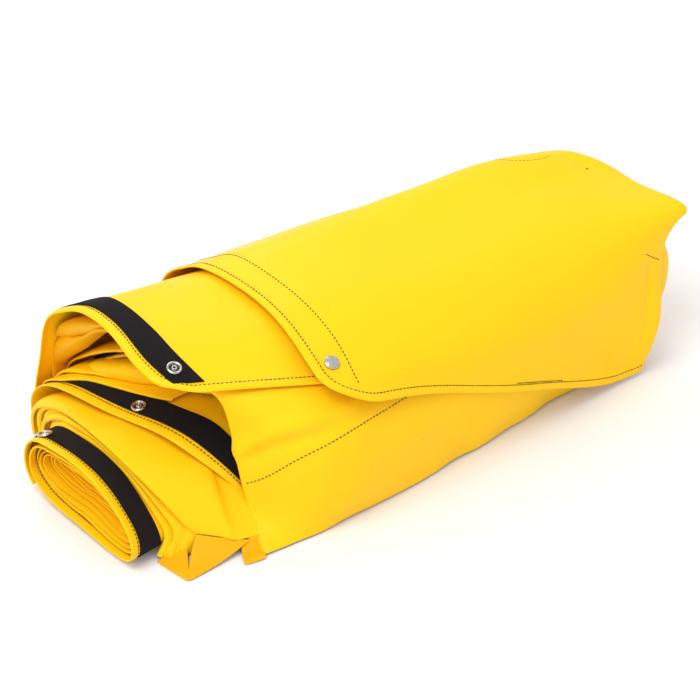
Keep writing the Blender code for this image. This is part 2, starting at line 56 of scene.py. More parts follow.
# ============================================================ smooth surfaces
def basis(knots, s):
    """Weights of a natural cubic spline through values at the knots."""
    t = np.asarray(knots, float)
    n = len(t)
    h = np.diff(t)
    a = np.zeros((n, n))
    r = np.zeros((n, n))
    a[0, 0] = a[-1, -1] = 1.0
    for i in range(1, n - 1):
        a[i, i - 1] = h[i - 1]
        a[i, i] = 2.0 * (h[i - 1] + h[i])
        a[i, i + 1] = h[i]
        r[i, i - 1] = 6.0 / h[i - 1]
        r[i, i] = -6.0 / h[i - 1] - 6.0 / h[i]
        r[i, i + 1] = 6.0 / h[i]
    m = np.linalg.solve(a, r)
    s = np.clip(np.atleast_1d(np.asarray(s, float)), t[0], t[-1])
    k = np.clip(np.searchsorted(t, s, side="right") - 1, 0, n - 2)
    hk = h[k]
    e = (s - t[k]) / hk
    f = 1.0 - e
    w = np.zeros((len(s), n))
    rows = np.arange(len(s))
    w[rows, k] += f
    w[rows, k + 1] += e
    w += ((f ** 3 - f) * hk ** 2 / 6.0)[:, None] * m[k]
    w += ((e ** 3 - e) * hk ** 2 / 6.0)[:, None] * m[k + 1]
    return w


def chord_knots(points):
    d = np.linalg.norm(np.diff(points, axis=1), axis=2).mean(axis=0)
    t = np.concatenate([[0.0], np.cumsum(d)])
    return t / t[-1]


def unit(v):
    return v / np.maximum(np.linalg.norm(v, axis=-1, keepdims=True), 1e-12)


def smooth(x, a, b):
    k = np.clip((x - a) / (b - a), 0.0, 1.0)
    return k * k * (3 - 2 * k)


def noise1(x, seed):
    """Smooth value noise in one dimension, -1..1."""
    x = np.asarray(x, float)
    i = np.floor(x).astype(int)
    f = x - i
    f = f * f * f * (f * (f * 6 - 15) + 10)

    def h(k):
        v = np.sin(k * 127.1 + seed * 311.7) * 43758.5453
        return 2.0 * (v - np.floor(v)) - 1.0
    return h(i) * (1 - f) + h(i + 1) * f


def noise2(x, y, seed):
    """Smooth value noise in two dimensions, -1..1."""
    x, y = np.broadcast_arrays(np.asarray(x, float), np.asarray(y, float))
    i, j = np.floor(x).astype(int), np.floor(y).astype(int)
    f, g = x - i, y - j
    f = f * f * f * (f * (f * 6 - 15) + 10)
    g = g * g * g * (g * (g * 6 - 15) + 10)

    def h(a, b):
        v = np.sin(a * 127.1 + b * 269.5 + seed * 183.3) * 43758.5453
        return 2.0 * (v - np.floor(v)) - 1.0
    return ((h(i, j) * (1 - f) + h(i + 1, j) * f) * (1 - g)
            + (h(i, j + 1) * (1 - f) + h(i + 1, j + 1) * f) * g)


class Net:
    def __init__(self, net):
        self.net = np.array(net, float) - np.array([CX, CY, 0.0])
        self.ku = chord_knots(self.net.transpose(1, 0, 2))
        self.kv = chord_knots(self.net)

    def uv(self, u, v):
        return np.einsum("ni,nj,ijk->nk", basis(self.ku, u), basis(self.kv, v), self.net)


class Cloth(Net):
    """A sheet whose a runs from its left edge and d back from its front edge, in millimetres.
    Past the left and right edges (and the front) it curls under with a given radius."""

    def __init__(self, net, curl_left=0.0, curl_right=0.0, curl_front=0.0, curl_back=0.0, relief=None):
        super().__init__(net)
        nu, nv = 61, 161
        self.gu = np.linspace(0, 1, nu)
        self.gv = np.linspace(0, 1, nv)
        p = np.einsum("ai,bj,ijk->abk", basis(self.ku, self.gu), basis(self.kv, self.gv), self.net)
        da = np.linalg.norm(np.diff(p, axis=0), axis=2).mean(axis=1)
        self.la = np.concatenate([[0.0], np.cumsum(da)])
        self.A = self.la[-1]
        seg = np.linalg.norm(np.diff(p, axis=1), axis=2)
        back = np.concatenate([np.zeros((nu, 1)), np.cumsum(seg[:, ::-1], axis=1)], axis=1)
        self.reach = back[:, -1]                     # length of each a-line, front to back
        self.D = float(self.reach.max())
        self.gd = np.linspace(0, self.D, 321)
        self.table = np.array([np.interp(self.gd, back[i], self.gv[::-1]) for i in range(nu)])
        self.cl, self.cr, self.cf, self.cb = curl_left, curl_right, curl_front, curl_back
        self.relief = relief

    def length(self, a):
        return np.interp(a, self.la, self.reach)

    def v_at(self, u, d):
        fu = np.clip(u, 0, 1) * (len(self.gu) - 1)
        i = np.clip(np.floor(fu).astype(int), 0, len(self.gu) - 2)
        fu = fu - i
        fd = np.clip(d / self.D, 0, 1) * (len(self.gd) - 1)
        j = np.clip(np.floor(fd).astype(int), 0, len(self.gd) - 2)
        fd = fd - j
        t = self.table
        return ((t[i, j] * (1 - fu) + t[i + 1, j] * fu) * (1 - fd)
                + (t[i, j + 1] * (1 - fu) + t[i + 1, j + 1] * fu) * fd)

    def at(self, a, d, n=0.0):
        a, d, n = np.broadcast_arrays(np.atleast_1d(np.asarray(a, float)),
                                      np.atleast_1d(np.asarray(d, float)),
                                      np.asarray(n, float))
        aa = np.clip(a, 0, self.A)
        dd = np.maximum(d, 0)
        u = np.interp(aa, self.la, self.gu)
        v = self.v_at(u, dd)
        p = self.uv(u, v)
        e = 1.5e-3
        du = unit(self.uv(np.minimum(u + e, 1), v) - self.uv(np.maximum(u - e, 0), v))
        dv = unit(self.uv(u, np.minimum(v + e, 1)) - self.uv(u, np.maximum(v - e, 0)))
        nn = unit(np.cross(dv, du))
        off = n.copy()
        if self.relief is not None:
            off = off + self.relief(aa, dd)
        side = unit(np.cross(nn, dv))               # across, towards +a
        along = dv.copy()
        for over, r, t in ((-d, self.cf, along), (d - self.length(aa), self.cb, -along)):
            k = over > 0
            if r > 0 and k.any():
                th = (over[k] / r)[:, None]
                q = t[k]
                p[k] = p[k] + r * np.sin(th) * q - r * (1 - np.cos(th)) * nn[k]
                nn[k] = unit(np.cos(th) * nn[k] + np.sin(th) * q)
        for over, r, s in ((-a, self.cl, -1.0), (a - self.A, self.cr, 1.0)):
            k = over > 0
            if r > 0 and k.any():
                th = (over[k] / r)[:, None]
                q = side[k] * s
                p[k] = p[k] + r * np.sin(th) * q - r * (1 - np.cos(th)) * nn[k]
                nn[k] = unit(np.cos(th) * nn[k] + np.sin(th) * q)
        return p + off[:, None] * nn, nn


def round_corner(a, d, r):
    """Squeezes the square corner at a = d = 0 into a rounded one; distances to the edge hold."""
    if r <= 0:
        return a, d
    a, d = np.array(a, float), np.array(d, float)
    k = (a < r) & (d < r)
    x, y = r - a, r - d
    m = np.maximum(x, y)
    h = np.maximum(np.hypot(x, y), 1e-9)
    f = np.where(k, m / h, 1.0)
    return np.where(k, r - x * f, a), np.where(k, r - y * f, d)


# ============================================================== control nets
OUTER_FLAP = [
    [(-102, 130, 165), (-101, 108, 177), (-98, 60, 182), (-99, 5, 179), (-108, -50, 168), (-114, -88, 153), (-113, -106, 145), (-110, -118, 136)],
    [(-20, 116, 165), (-20, 90, 183), (-20, 45, 187), (-20, -12, 182), (-20, -65, 168), (-22, -100, 147), (-21, -113, 129), (-20, -120, 111)],
    [(75, 100, 165), (75, 76, 185), (75, 30, 187), (78, -25, 181), (80, -80, 169), (80, -117, 140), (80, -126, 105), (80, -128, 70)],
    [(160, 85, 165), (160, 64, 186), (160, 18, 186), (165, -35, 180), (165, -90, 167), (162, -122, 138), (160, -130, 88), (160, -131, 38)],
    [(235, 73, 165), (238, 53, 186), (242, 5, 184), (250, -45, 178), (255, -98, 166), (246, -123, 136), (238, -131, 72), (230, -132, 10)],
    [(300, 61, 165), (322, 30, 183), (331, -15, 181), (337, -65, 176), (347, -112, 166), (324, -113, 131), (306, -131, 72), (278, -134, 6)],
]
OUTER_REAR = [
    [(-102, 131, 164), (-102, 160, 147), (-102, 184, 112), (-103, 198, 72), (-103, 206, 34), (-104, 208, 6)],
    [(30, 109, 164), (30, 138, 147), (30, 162, 112), (30, 178, 72), (30, 186, 34), (30, 188, 6)],
    [(165, 86, 164), (165, 112, 147), (165, 136, 112), (165, 150, 72), (165, 157, 34), (165, 159, 6)],
    [(300, 62, 164), (302, 84, 147), (306, 106, 112), (308, 120, 72), (304, 127, 34), (296, 128, 6)],
]
INNER_FLAP = [
    [(-218, 150, 162), (-218, 122, 176), (-220, 72, 178), (-226, 32, 171), (-224, 2, 162), (-222, -16, 156)],
    [(-150, 136, 160), (-150, 110, 174), (-150, 58, 174), (-150, 8, 167), (-150, -28, 157), (-150, -52, 149)],
    [(-60, 117, 158), (-60, 88, 174), (-60, 42, 176), (-60, -10, 170), (-60, -55, 155), (-60, -88, 136)],
    [(60, 91, 156), (60, 64, 173), (60, 22, 177), (60, -26, 171), (60, -72, 157), (60, -104, 130)],
    [(180, 66, 153), (180, 44, 172), (180, 6, 175), (180, -36, 169), (180, -80, 156), (180, -108, 128)],
    [(285, 44, 150), (285, 24, 169), (285, -14, 171), (285, -54, 165), (285, -94, 152), (285, -112, 124)],
]
INNER_REAR = [
    [(-218, 151, 161), (-220, 172, 146), (-220, 188, 114), (-221, 195, 84), (-222, 205, 48), (-223, 212, 6)],
    [(-110, 128, 158), (-110, 150, 142), (-110, 168, 112), (-111, 182, 78), (-112, 192, 42), (-112, 196, 6)],
    [(30, 98, 155), (30, 124, 140), (30, 148, 110), (30, 164, 74), (30, 173, 40), (30, 176, 6)],
    [(160, 71, 152), (160, 98, 138), (160, 122, 108), (160, 136, 72), (160, 144, 38), (160, 147, 6)],
    [(285, 45, 149), (287, 68, 138), (290, 92, 108), (292, 106, 72), (290, 112, 38), (285, 114, 6)],
]
FRONT_WRAP = [
    [(-188, 46, 150), (-187, 2, 149), (-186, -33, 140), (-180, -40, 106), (-181, -54, 60), (-182, -72, 20), (-191, -101, 2)],
    [(-145, 34, 148), (-145, -14, 147), (-145, -66, 138), (-144, -92, 106), (-144, -102, 60), (-144, -106, 22), (-145, -107, 2)],
    [(-60, 20, 146), (-60, -30, 144), (-60, -86, 128), (-60, -113, 98), (-60, -119, 58), (-60, -117, 22), (-60, -113, 2)],
    [(60, 0, 146), (60, -44, 145), (60, -92, 128), (60, -115, 95), (60, -120, 56), (60, -117, 22), (60, -113, 2)],
    [(180, -10, 144), (180, -56, 143), (180, -96, 126), (180, -113, 92), (180, -116, 55), (180, -112, 22), (180, -107, 2)],
    [(250, -18, 142), (250, -62, 140), (250, -100, 120), (250, -113, 88), (250, -114, 53), (250, -110, 22), (250, -106, 2)],
]
MIDDLE_WRAP = [
    [(-238, 200, 8), (-240, 197, 42), (-237, 174, 67), (-236, 92, 87), (-222, 19, 91), (-207, -20, 77), (-178, -50, 38), (-172, -54, 27)],
    [(-186, 184, 8), (-188, 184, 44), (-188, 152, 74), (-184, 84, 94), (-172, 14, 98), (-158, -22, 86), (-150, -58, 42), (-148, -62, 27)],
    [(-60, 172, 8), (-60, 170, 46), (-60, 146, 74), (-60, 84, 93), (-60, 10, 98), (-60, -66, 88), (-60, -96, 46), (-60, -98, 27)],
    [(110, 146, 8), (110, 144, 42), (110, 122, 70), (110, 70, 87), (110, 4, 91), (110, -64, 82), (110, -94, 44), (110, -96, 27)],
    [(250, 116, 8), (250, 112, 38), (250, 92, 66), (250, 52, 80), (250, 0, 84), (250, -60, 76), (250, -86, 42), (250, -88, 27)],
]
LOWER_WRAP = [
    [(-246, 192, 8), (-247, 188, 36), (-250, 158, 58), (-252, 124, 72), (-262, 34, 82), (-258, -14, 67), (-248, -38, 44), (-235, -53, 21)],
    [(-238, 191, 8), (-240, 188, 39), (-243, 160, 62), (-244, 112, 76), (-246, 38, 84), (-238, -8, 74), (-220, -40, 54), (-214, -62, 22)],
    [(-196, 178, 8), (-197, 176, 40), (-198, 148, 62), (-196, 86, 79), (-188, 24, 84), (-182, -4, 76), (-192, -30, 58), (-202, -64, 18)],
]
LOWER_CORNER = [
    [(-266, -48, 1.6), (-268, -64, 1.8), (-268, -80, 1.6)],
    [(-246, -50, 8), (-242, -64, 9), (-236, -81, 3)],
    [(-226, -57, 16), (-216, -70, 10), (-204, -84, 2)],
]
CORE_TURN = [
    (-300, [(116, 12), (127, 36), (117, 63), (80, 77), (42, 81), (4, 75), (-27, 56), (-42, 34), (-40, 12), (-18, 2.2), (36, 2.2), (90, 3)]),
    (-266, [(122, 12), (137, 36), (125, 57), (94, 68), (40, 70), (6, 59), (-20, 40), (-35, 22), (-36, 9), (-18, 2.2), (36, 2.2), (94, 3)]),
    (-200, [(122, 12), (134, 36), (122, 56), (92, 67), (40, 70), (4, 62), (-22, 44), (-36, 25), (-37, 10), (-18, 2.2), (36, 2.2), (94, 3)]),
    (-40, [(104, 12), (116, 36), (106, 56), (76, 67), (24, 70), (-14, 64), (-42, 46), (-56, 26), (-56, 10), (-38, 2.2), (16, 2.2), (76, 3)]),
    (236, [(84, 12), (94, 34), (86, 52), (58, 62), (8, 65), (-28, 60), (-54, 44), (-66, 26), (-66, 10), (-50, 2.2), (0, 2.2), (58, 3)]),
]
CORE_MID = (43.0, 36.0)
CORE_PITCH = 6.5
CORE_TURNS = 2.3
FAN_INNER = [(124, 12), (137, 36), (126, 56), (98, 66), (34, 69.5), (2, 57), (-20, 40), (-37, 18)]


def joined(rear, flap):
    """One net from the floor at the back, over the ridge, to the flap's front edge."""
    r = Net(rear)
    shift = np.array([CX, CY, 0.0])
    xs = r.net[:, 0, 0] + CX
    rows = []
    for row in flap:
        u = np.interp(row[0][0], xs, r.ku)
        back = r.uv(np.full(len(r.kv) - 1, u), r.kv[1:]) + shift
        rows.append([tuple(p) for p in back[::-1]] + list(row))
    return rows


# ================================================================= materials
def nodes_of(mat):
    mat.use_nodes = True
    nt = mat.node_tree
    nt.nodes.clear()
    out = nt.nodes.new("ShaderNodeOutputMaterial")
    p = nt.nodes.new("ShaderNodeBsdfPrincipled")
    nt.links.new(p.outputs[0], out.inputs[0])
    return nt, p


def mixer(nt, a, b, fac, kind="MIX"):
    m = nt.nodes.new("ShaderNodeMix")
    m.data_type = "RGBA"
    m.blend_type = kind
    for sock, val in ((m.inputs[6], a), (m.inputs[7], b)):
        if isinstance(val, tuple):
            sock.default_value = val
        else:
            nt.links.new(val, sock)
    if isinstance(fac, float):
        m.inputs[0].default_value = fac
    else:
        nt.links.new(fac, m.inputs[0])
    return m.outputs[2]


def maths(nt, op, *vals):
    m = nt.nodes.new("ShaderNodeMath")
    m.operation = op
    for i, v in enumerate(vals):
        if isinstance(v, (int, float)):
            m.inputs[i].default_value = v
        else:
            nt.links.new(v, m.inputs[i])
    return m.outputs[0]


def noise(nt, vec, scale, detail=3.0, rough=0.5):
    n = nt.nodes.new("ShaderNodeTexNoise")
    n.inputs["Scale"].default_value = scale
    n.inputs["Detail"].default_value = detail
    n.inputs["Roughness"].default_value = rough
    nt.links.new(vec, n.inputs["Vector"])
    return n.outputs["Fac"]


def remap(nt, v, a, b, c, d):
    m = nt.nodes.new("ShaderNodeMapRange")
    m.clamp = True
    for i, x in enumerate((a, b, c, d)):
        m.inputs[i + 1].default_value = x
    nt.links.new(v, m.inputs[0])
    return m.outputs[0]


def fabric_material(name, face, shade, tint=0.0):
    """Coated fabric: satin face, faint woven scrim showing through, soft mottling and specks."""
    mat = bpy.data.materials.new(name)
    nt, p = nodes_of(mat)
    geo = nt.nodes.new("ShaderNodeTexCoord")
    obj = geo.outputs["Object"]
    uvn = nt.nodes.new("ShaderNodeUVMap")
    uvn.uv_map = "cloth"
    uv = uvn.outputs[0]
    sep = nt.nodes.new("ShaderNodeSeparateXYZ")
    nt.links.new(uv, sep.inputs[0])
    # woven scrim, one thread each 1.1 mm both ways
    warp = maths(nt, "SINE", maths(nt, "MULTIPLY", sep.outputs[0], 2 * math.pi / 0.0011))
    weft = maths(nt, "SINE", maths(nt, "MULTIPLY", sep.outputs[1], 2 * math.pi / 0.0011))
    weave = maths(nt, "MULTIPLY", warp, weft)
    broad = noise(nt, obj, 5.0, 2.0)
    cloudy = noise(nt, obj, 22.0, 4.0)
    fine = noise(nt, obj, 900.0, 2.0)
    col = mixer(nt, shade, face, remap(nt, broad, 0.35, 0.65, 0.55, 1.0))
    col = mixer(nt, col, tuple(c * 0.94 for c in face[:3]) + (1.0,), remap(nt, cloudy, 0.55, 0.8, 0.0, 0.5))
    # sparse handling marks
    specks = noise(nt, obj, 160.0, 1.0)
    col = mixer(nt, col, (0.42, 0.27, 0.03, 1.0), remap(nt, specks, 0.80, 0.86, 0.0, 0.55))
    nt.links.new(col, p.inputs["Base Color"])
    rough = remap(nt, cloudy, 0.3, 0.7, 0.38, 0.50)
    nt.links.new(rough, p.inputs["Roughness"])
    p.inputs["Specular IOR Level"].default_value = 0.13
    height = maths(nt, "ADD", maths(nt, "MULTIPLY", weave, 0.35), maths(nt, "MULTIPLY", fine, 0.5))
    b1 = nt.nodes.new("ShaderNodeBump")
    b1.inputs["Strength"].default_value = 0.10
    b1.inputs["Distance"].default_value = 0.00012
    nt.links.new(height, b1.inputs["Height"])
    b2 = nt.nodes.new("ShaderNodeBump")
    b2.inputs["Strength"].default_value = 0.25
    b2.inputs["Distance"].default_value = 0.0010
    nt.links.new(noise(nt, obj, 38.0, 3.0), b2.inputs["Height"])
    nt.links.new(b1.outputs[0], b2.inputs["Normal"])
    nt.links.new(b2.outputs[0], p.inputs["Normal"])
    return mat


def tape_material(name):
    """Black hook-and-loop tape: matte looped pile."""
    mat = bpy.data.materials.new(name)
    nt, p = nodes_of(mat)
    obj = nt.nodes.new("ShaderNodeTexCoord").outputs["Object"]
    pile = noise(nt, obj, 1500.0, 3.0, 0.7)
    patch = noise(nt, obj, 60.0, 3.0)
    col = mixer(nt, (0.0045, 0.0036, 0.0042, 1.0), (0.016, 0.013, 0.0145, 1.0), remap(nt, pile, 0.35, 0.7, 0.0, 1.0))
    col = mixer(nt, col, (0.010, 0.0078, 0.009, 1.0), remap(nt, patch, 0.4, 0.7, 0.0, 0.6))
    nt.links.new(col, p.inputs["Base Color"])
    p.inputs["Roughness"].default_value = 0.92
    p.inputs["Specular IOR Level"].default_value = 0.10
    p.inputs["Sheen Weight"].default_value = 0.02
    p.inputs["Sheen Roughness"].default_value = 0.6
    b = nt.nodes.new("ShaderNodeBump")
    b.inputs["Strength"].default_value = 0.9
    b.inputs["Distance"].default_value = 0.0006
    nt.links.new(pile, b.inputs["Height"])
    nt.links.new(b.outputs[0], p.inputs["Normal"])
    return mat


def thread_material(name):
    mat = bpy.data.materials.new(name)
    nt, p = nodes_of(mat)
    obj = nt.nodes.new("ShaderNodeTexCoord").outputs["Object"]
    n = noise(nt, obj, 2200.0, 2.0)
    col = mixer(nt, (0.006, 0.004, 0.003, 1.0), (0.022, 0.012, 0.006, 1.0), n)
    nt.links.new(col, p.inputs["Base Color"])
    p.inputs["Roughness"].default_value = 0.7
    b = nt.nodes.new("ShaderNodeBump")
    b.inputs["Strength"].default_value = 0.6
    b.inputs["Distance"].default_value = 0.0002
    nt.links.new(n, b.inputs["Height"])
    nt.links.new(b.outputs[0], p.inputs["Normal"])
    return mat


def metal_material(name):
    """Nickel-plated press stud, slightly scuffed."""
    mat = bpy.data.materials.new(name)
    nt, p = nodes_of(mat)
    obj = nt.nodes.new("ShaderNodeTexCoord").outputs["Object"]
    scuff = noise(nt, obj, 700.0, 4.0, 0.6)
    col = mixer(nt, (0.44, 0.42, 0.385, 1.0), (0.62, 0.60, 0.56, 1.0), remap(nt, scuff, 0.35, 0.65, 0.0, 1.0))
    nt.links.new(col, p.inputs["Base Color"])
    p.inputs["Metallic"].default_value = 1.0
    nt.links.new(remap(nt, scuff, 0.3, 0.7, 0.16, 0.34), p.inputs["Roughness"])
    b = nt.nodes.new("ShaderNodeBump")
    b.inputs["Strength"].default_value = 0.15
    b.inputs["Distance"].default_value = 0.0001
    nt.links.new(scuff, b.inputs["Height"])
    nt.links.new(b.outputs[0], p.inputs["Normal"])
    return mat


FABRIC = fabric_material("coated_fabric_yellow", (0.985, 0.585, 0.006, 1.0), (0.970, 0.550, 0.005, 1.0))
# Painted shade: a darker copy of the yellow fabric, for plies that lie in shade (the facet, floor ply and tuck under
# the lower wrap, and the deep plies in the mouth).
SHADED_FABRIC_COPY = fabric_material("coated_fabric_painted_shade", (0.86, 0.43, 0.004, 1.0), (0.82, 0.40, 0.004, 1.0))
TAPE = tape_material("hook_loop_tape_black")
THREAD = thread_material("thread_dark_brown")
METAL = metal_material("snap_nickel")


def stud_hole_shade_material(name):
    """Painted shade: near-black floor inside a press stud ring, standing in for the shade in its hole."""
    mat = bpy.data.materials.new(name)
    nt, p = nodes_of(mat)
    obj = nt.nodes.new("ShaderNodeTexCoord").outputs["Object"]
    n = noise(nt, obj, 900.0, 3.0)
    nt.links.new(mixer(nt, (0.018, 0.015, 0.013, 1.0), (0.06, 0.052, 0.045, 1.0), n), p.inputs["Base Color"])
    p.inputs["Metallic"].default_value = 0.6
    p.inputs["Roughness"].default_value = 0.5
    return mat


STUD_HOLE_SHADE = stud_hole_shade_material("snap_hole_painted_shade")


# ==================================================================== meshes
def make_object(name, verts, faces, mat, uvs=None):
    me = bpy.data.meshes.new(name)
    me.from_pydata((np.asarray(verts) / 1000.0).tolist(), [], faces)
    me.update()
    if uvs is not None:
        layer = me.uv_layers.new(name="cloth")
        idx = np.zeros(len(me.loops), int)
        me.loops.foreach_get("vertex_index", idx)
        layer.data.foreach_set("uv", (np.asarray(uvs)[idx] / 1000.0).astype(np.float32).ravel())
    me.shade_smooth()
    ob = bpy.data.objects.new(name, me)
    bpy.context.scene.collection.objects.link(ob)
    ob.data.materials.append(mat)
    return ob


def lens_grid(top, bottom, na, nd, uv):
    """A closed skin from two grids of points that share their border. Arrays are (na, nd, 3)."""
    verts = [top.reshape(-1, 3)]
    ti = np.arange(na * nd).reshape(na, nd)
    bi = ti.copy()
    inner = np.zeros((na, nd), bool)
    inner[1:-1, 1:-1] = True
    k = np.arange(int(inner.sum())) + na * nd
    bi[inner] = k
    verts.append(bottom[inner])
    uvs = np.concatenate([uv.reshape(-1, 2), uv[inner]])
    faces = []
    a, b, c, d = ti[:-1, :-1], ti[1:, :-1], ti[1:, 1:], ti[:-1, 1:]
    faces += np.stack([a, b, c, d], -1).reshape(-1, 4).tolist()
    a, b, c, d = bi[:-1, :-1], bi[1:, :-1], bi[1:, 1:], bi[:-1, 1:]
    faces += np.stack([a, d, c, b], -1).reshape(-1, 4).tolist()
    return np.concatenate(verts), faces, uvs


def spaced(a, b, step):
    n = max(2, int(round(abs(b - a) / step)) + 1)
    return list(np.linspace(a, b, n))


def edged(lo, hi, step, near_lo=(), near_hi=()):
    """Stations from lo to hi with extra ones close to each end."""
    s = [lo + x for x in near_lo] + [hi - x for x in near_hi]
    s += spaced(lo + (near_lo[-1] if near_lo else 0), hi - (near_hi[-1] if near_hi else 0), step)
    s = sorted(set(round(x, 4) for x in s))
    out = [s[0]]
    for x in s[1:]:
        if x - out[-1] > 0.08:
            out.append(x)
    out[-1] = hi
    return np.array(out)


EDGE = (0, 0.12, 0.4, 0.9, 1.8)
HEM_EDGE = (0, 0.15, 0.5, 1.1, 2.2, 4.0, 6.0, 7.6, 8.4, 9.0, 9.6, 10.4, 11.4, 13.0, 16.0)


def hem_height(s, w=10.0):
    """Extra height of a turned hem at distance s from its edge."""
    plateau = 1.0 - smooth(s, w - 0.9, w + 0.7)
    groove = np.exp(-((s - (w - 1.6)) / 0.65) ** 2)
    crown = 0.25 * np.exp(-((s - w * 0.45) / (w * 0.3)) ** 2)
    return plateau * (0.75 + crown) - 0.45 * groove


def lip(s, t):
    """Half thickness near a free edge, rounded like cut or folded cloth."""
    k = np.clip(s / t, 0.0, 1.0)
    return np.sqrt(np.clip(1.0 - (1.0 - k) ** 2, 0.0, 1.0))


def skin(name, P, ga, gd, up, dn, uv, mat=None, flip=False):
    """A closed cloth skin between P(a, d, up) and P(a, d, dn); the borders are shared."""
    na, nd = ga.shape
    top = P(ga.ravel(), gd.ravel(), up.ravel())[0].reshape(na, nd, 3)
    bot = P(ga.ravel(), gd.ravel(), dn.ravel())[0].reshape(na, nd, 3)
    mid = 0.5 * (top + bot)
    for sl in ((0, slice(None)), (-1, slice(None)), (slice(None), 0), (slice(None), -1)):
        top[sl] = mid[sl]
    v, fcs, uvs = lens_grid(top, bot, na, nd, uv)
    if flip:
        fcs = [f[::-1] for f in fcs]
    return make_object(name, v, fcs, mat or FABRIC, uvs)


def rim(ga, gd, free):
    """Distance to the nearest free edge; free names left, right, front, back."""
    b = np.full(ga.shape, 1e9)
    for use, dst in zip(free, (ga - ga.min(), ga.max() - ga, gd - gd.min(), gd.max() - gd)):
        if use:
            b = np.minimum(b, dst)
    return b


def cloth_piece(name, cloth, A, D, mat=None, thick=0.9, hem=0.0, hem_front=False, hem_left=True,
                corner=0.0, offset=0.0, fit_back=0.0, edge_t=0.9, pucker=0.25, seed=1,
                free=(1, 1, 1, 1), shift=None):
    """One sheet of cloth over stations A by D. fit_back makes its last station end at the sheet's
    own rear edge plus that much; shift(d) moves the left edge in."""
    A, D = np.asarray(A, float), np.asarray(D, float)
    ga, gd = np.meshgrid(A, D, indexing="ij")
    d_use = gd.copy()
    if fit_back is not None:
        L = cloth.length(np.clip(ga, 0, cloth.A)) + fit_back
        lim = D[-1]
        d_use = gd + (L - lim) * (gd / lim) * smooth(gd, 60.0, lim)
    a_use = ga.copy()
    if shift is not None:
        sh = shift(d_use)
        a_use = ga + sh * np.clip(1.0 - (ga - A[0]) / 90.0, 0.0, 1.0)
    ca, cd = round_corner(a_use, d_use, corner)
    dist = np.full(ga.shape, 1e9)
    if hem and hem_left:
        dist = np.minimum(dist, ga - A[0])
    if hem and hem_front:
        dist = np.minimum(dist, d_use)
    h = np.zeros(ga.shape)
    if hem:
        h = hem_height(dist, hem)
        along = ca + cd
        h = h * (1 + 0.12 * noise1(along / 14.0, seed))
        h = h + pucker * noise1(along / 8.0, seed + 5) * np.exp(-((dist - hem + 1) / 4.0) ** 2) * 0.6
    border = rim(ga, gd, free)
    hh = h * lip(border, 1.2)
    f = lip(border, edge_t)
    up = offset + (0.5 * thick) * f + hh
    dn = offset - (0.5 * thick) * f - 0.25 * np.maximum(hh, 0)
    return skin(name, cloth.at, ca, cd, up, dn, np.stack([ca, cd], -1), mat)


def stitches(name, lines, body=None, length=3.2, pitch=4.1, radius=0.52, seed=3):
    """Rows of stitches. Each line is a function s -> (points, normals) with its length."""
    vs, fs = [], []
    rings = [(-1.0, 0.35), (-0.62, 0.9), (0.0, 1.0), (0.62, 0.9), (1.0, 0.35)]
    m = 6
    rng = np.random.default_rng(seed)
    for fn, total, kw in lines:
        ln = kw.get("length", length)
        pt = kw.get("pitch", pitch)
        r = kw.get("radius", radius)
        n = int((total - 2) // pt)
        if n < 1:
            continue
        c = 1.0 + pt * (np.arange(n) + 0.5)
        c = c + rng.uniform(-0.12, 0.12, n)
        half = 0.5 * ln * (1 + rng.uniform(-0.12, 0.12, n))
        for i in range(n):
            s = np.clip(c[i] + half[i] * np.array([q for q, _ in rings]), 0, total)
            p, nn = fn(s)
            t = unit(np.gradient(p, axis=0))
            b = unit(np.cross(t, nn))
            k0 = len(vs) and sum(len(x) for x in vs)
            ring_pts = []
            for j, (q, w) in enumerate(rings):
                lift = 0.42 * (1 - q * q) - 0.30 * q * q
                for a in range(m):
                    th = 2 * math.pi * a / m
                    ring_pts.append(p[j] + nn[j] * (lift * 0.9 + 0.7 * r * w * math.sin(th)) + b[j] * (r * w * math.cos(th)))
            vs.append(np.array(ring_pts))
            k0 = int(k0)
            for j in range(len(rings) - 1):
                for a in range(m):
                    x, y = k0 + j * m + a, k0 + j * m + (a + 1) % m
                    fs.append([x, y, y + m, x + m])
            fs.append([k0 + a for a in range(m)][::-1])
            fs.append([k0 + (len(rings) - 1) * m + a for a in range(m)])
    v = np.concatenate(vs)
    return make_object(name, v, fs, THREAD)


def path_line(cloth, pts, n, corner=0.0, start=0.0, end=None):
    """A stitch line through square-corner pattern points, at height n; returns (fn, length)."""
    pts = np.array(pts, float)
    seg = np.linalg.norm(np.diff(pts, axis=0), axis=1)
    fine = [pts[0]]
    for i in range(len(seg)):
        k = max(1, int(seg[i] / 1.5))
        for j in range(1, k + 1):
            fine.append(pts[i] + (pts[i + 1] - pts[i]) * j / k)
    fine = np.array(fine)
    ca, cd = round_corner(fine[:, 0], fine[:, 1], corner)
    p, nn = cloth.at(ca, cd, n)
    run = np.concatenate([[0.0], np.cumsum(np.linalg.norm(np.diff(p, axis=0), axis=1))])

    def fn(s):
        q = np.stack([np.interp(s, run, p[:, i]) for i in range(3)], -1)
        m = unit(np.stack([np.interp(s, run, nn[:, i]) for i in range(3)], -1))
        return q, m
    return fn, float(run[-1])


def smooth_pts(pts, n=40):
    """A smooth curve through a few pattern points."""
    pts = np.array(pts, float)
    t = np.concatenate([[0.0], np.cumsum(np.linalg.norm(np.diff(pts, axis=0), axis=1))])
    s = np.linspace(0, t[-1], n)
    return basis(t, s) @ pts


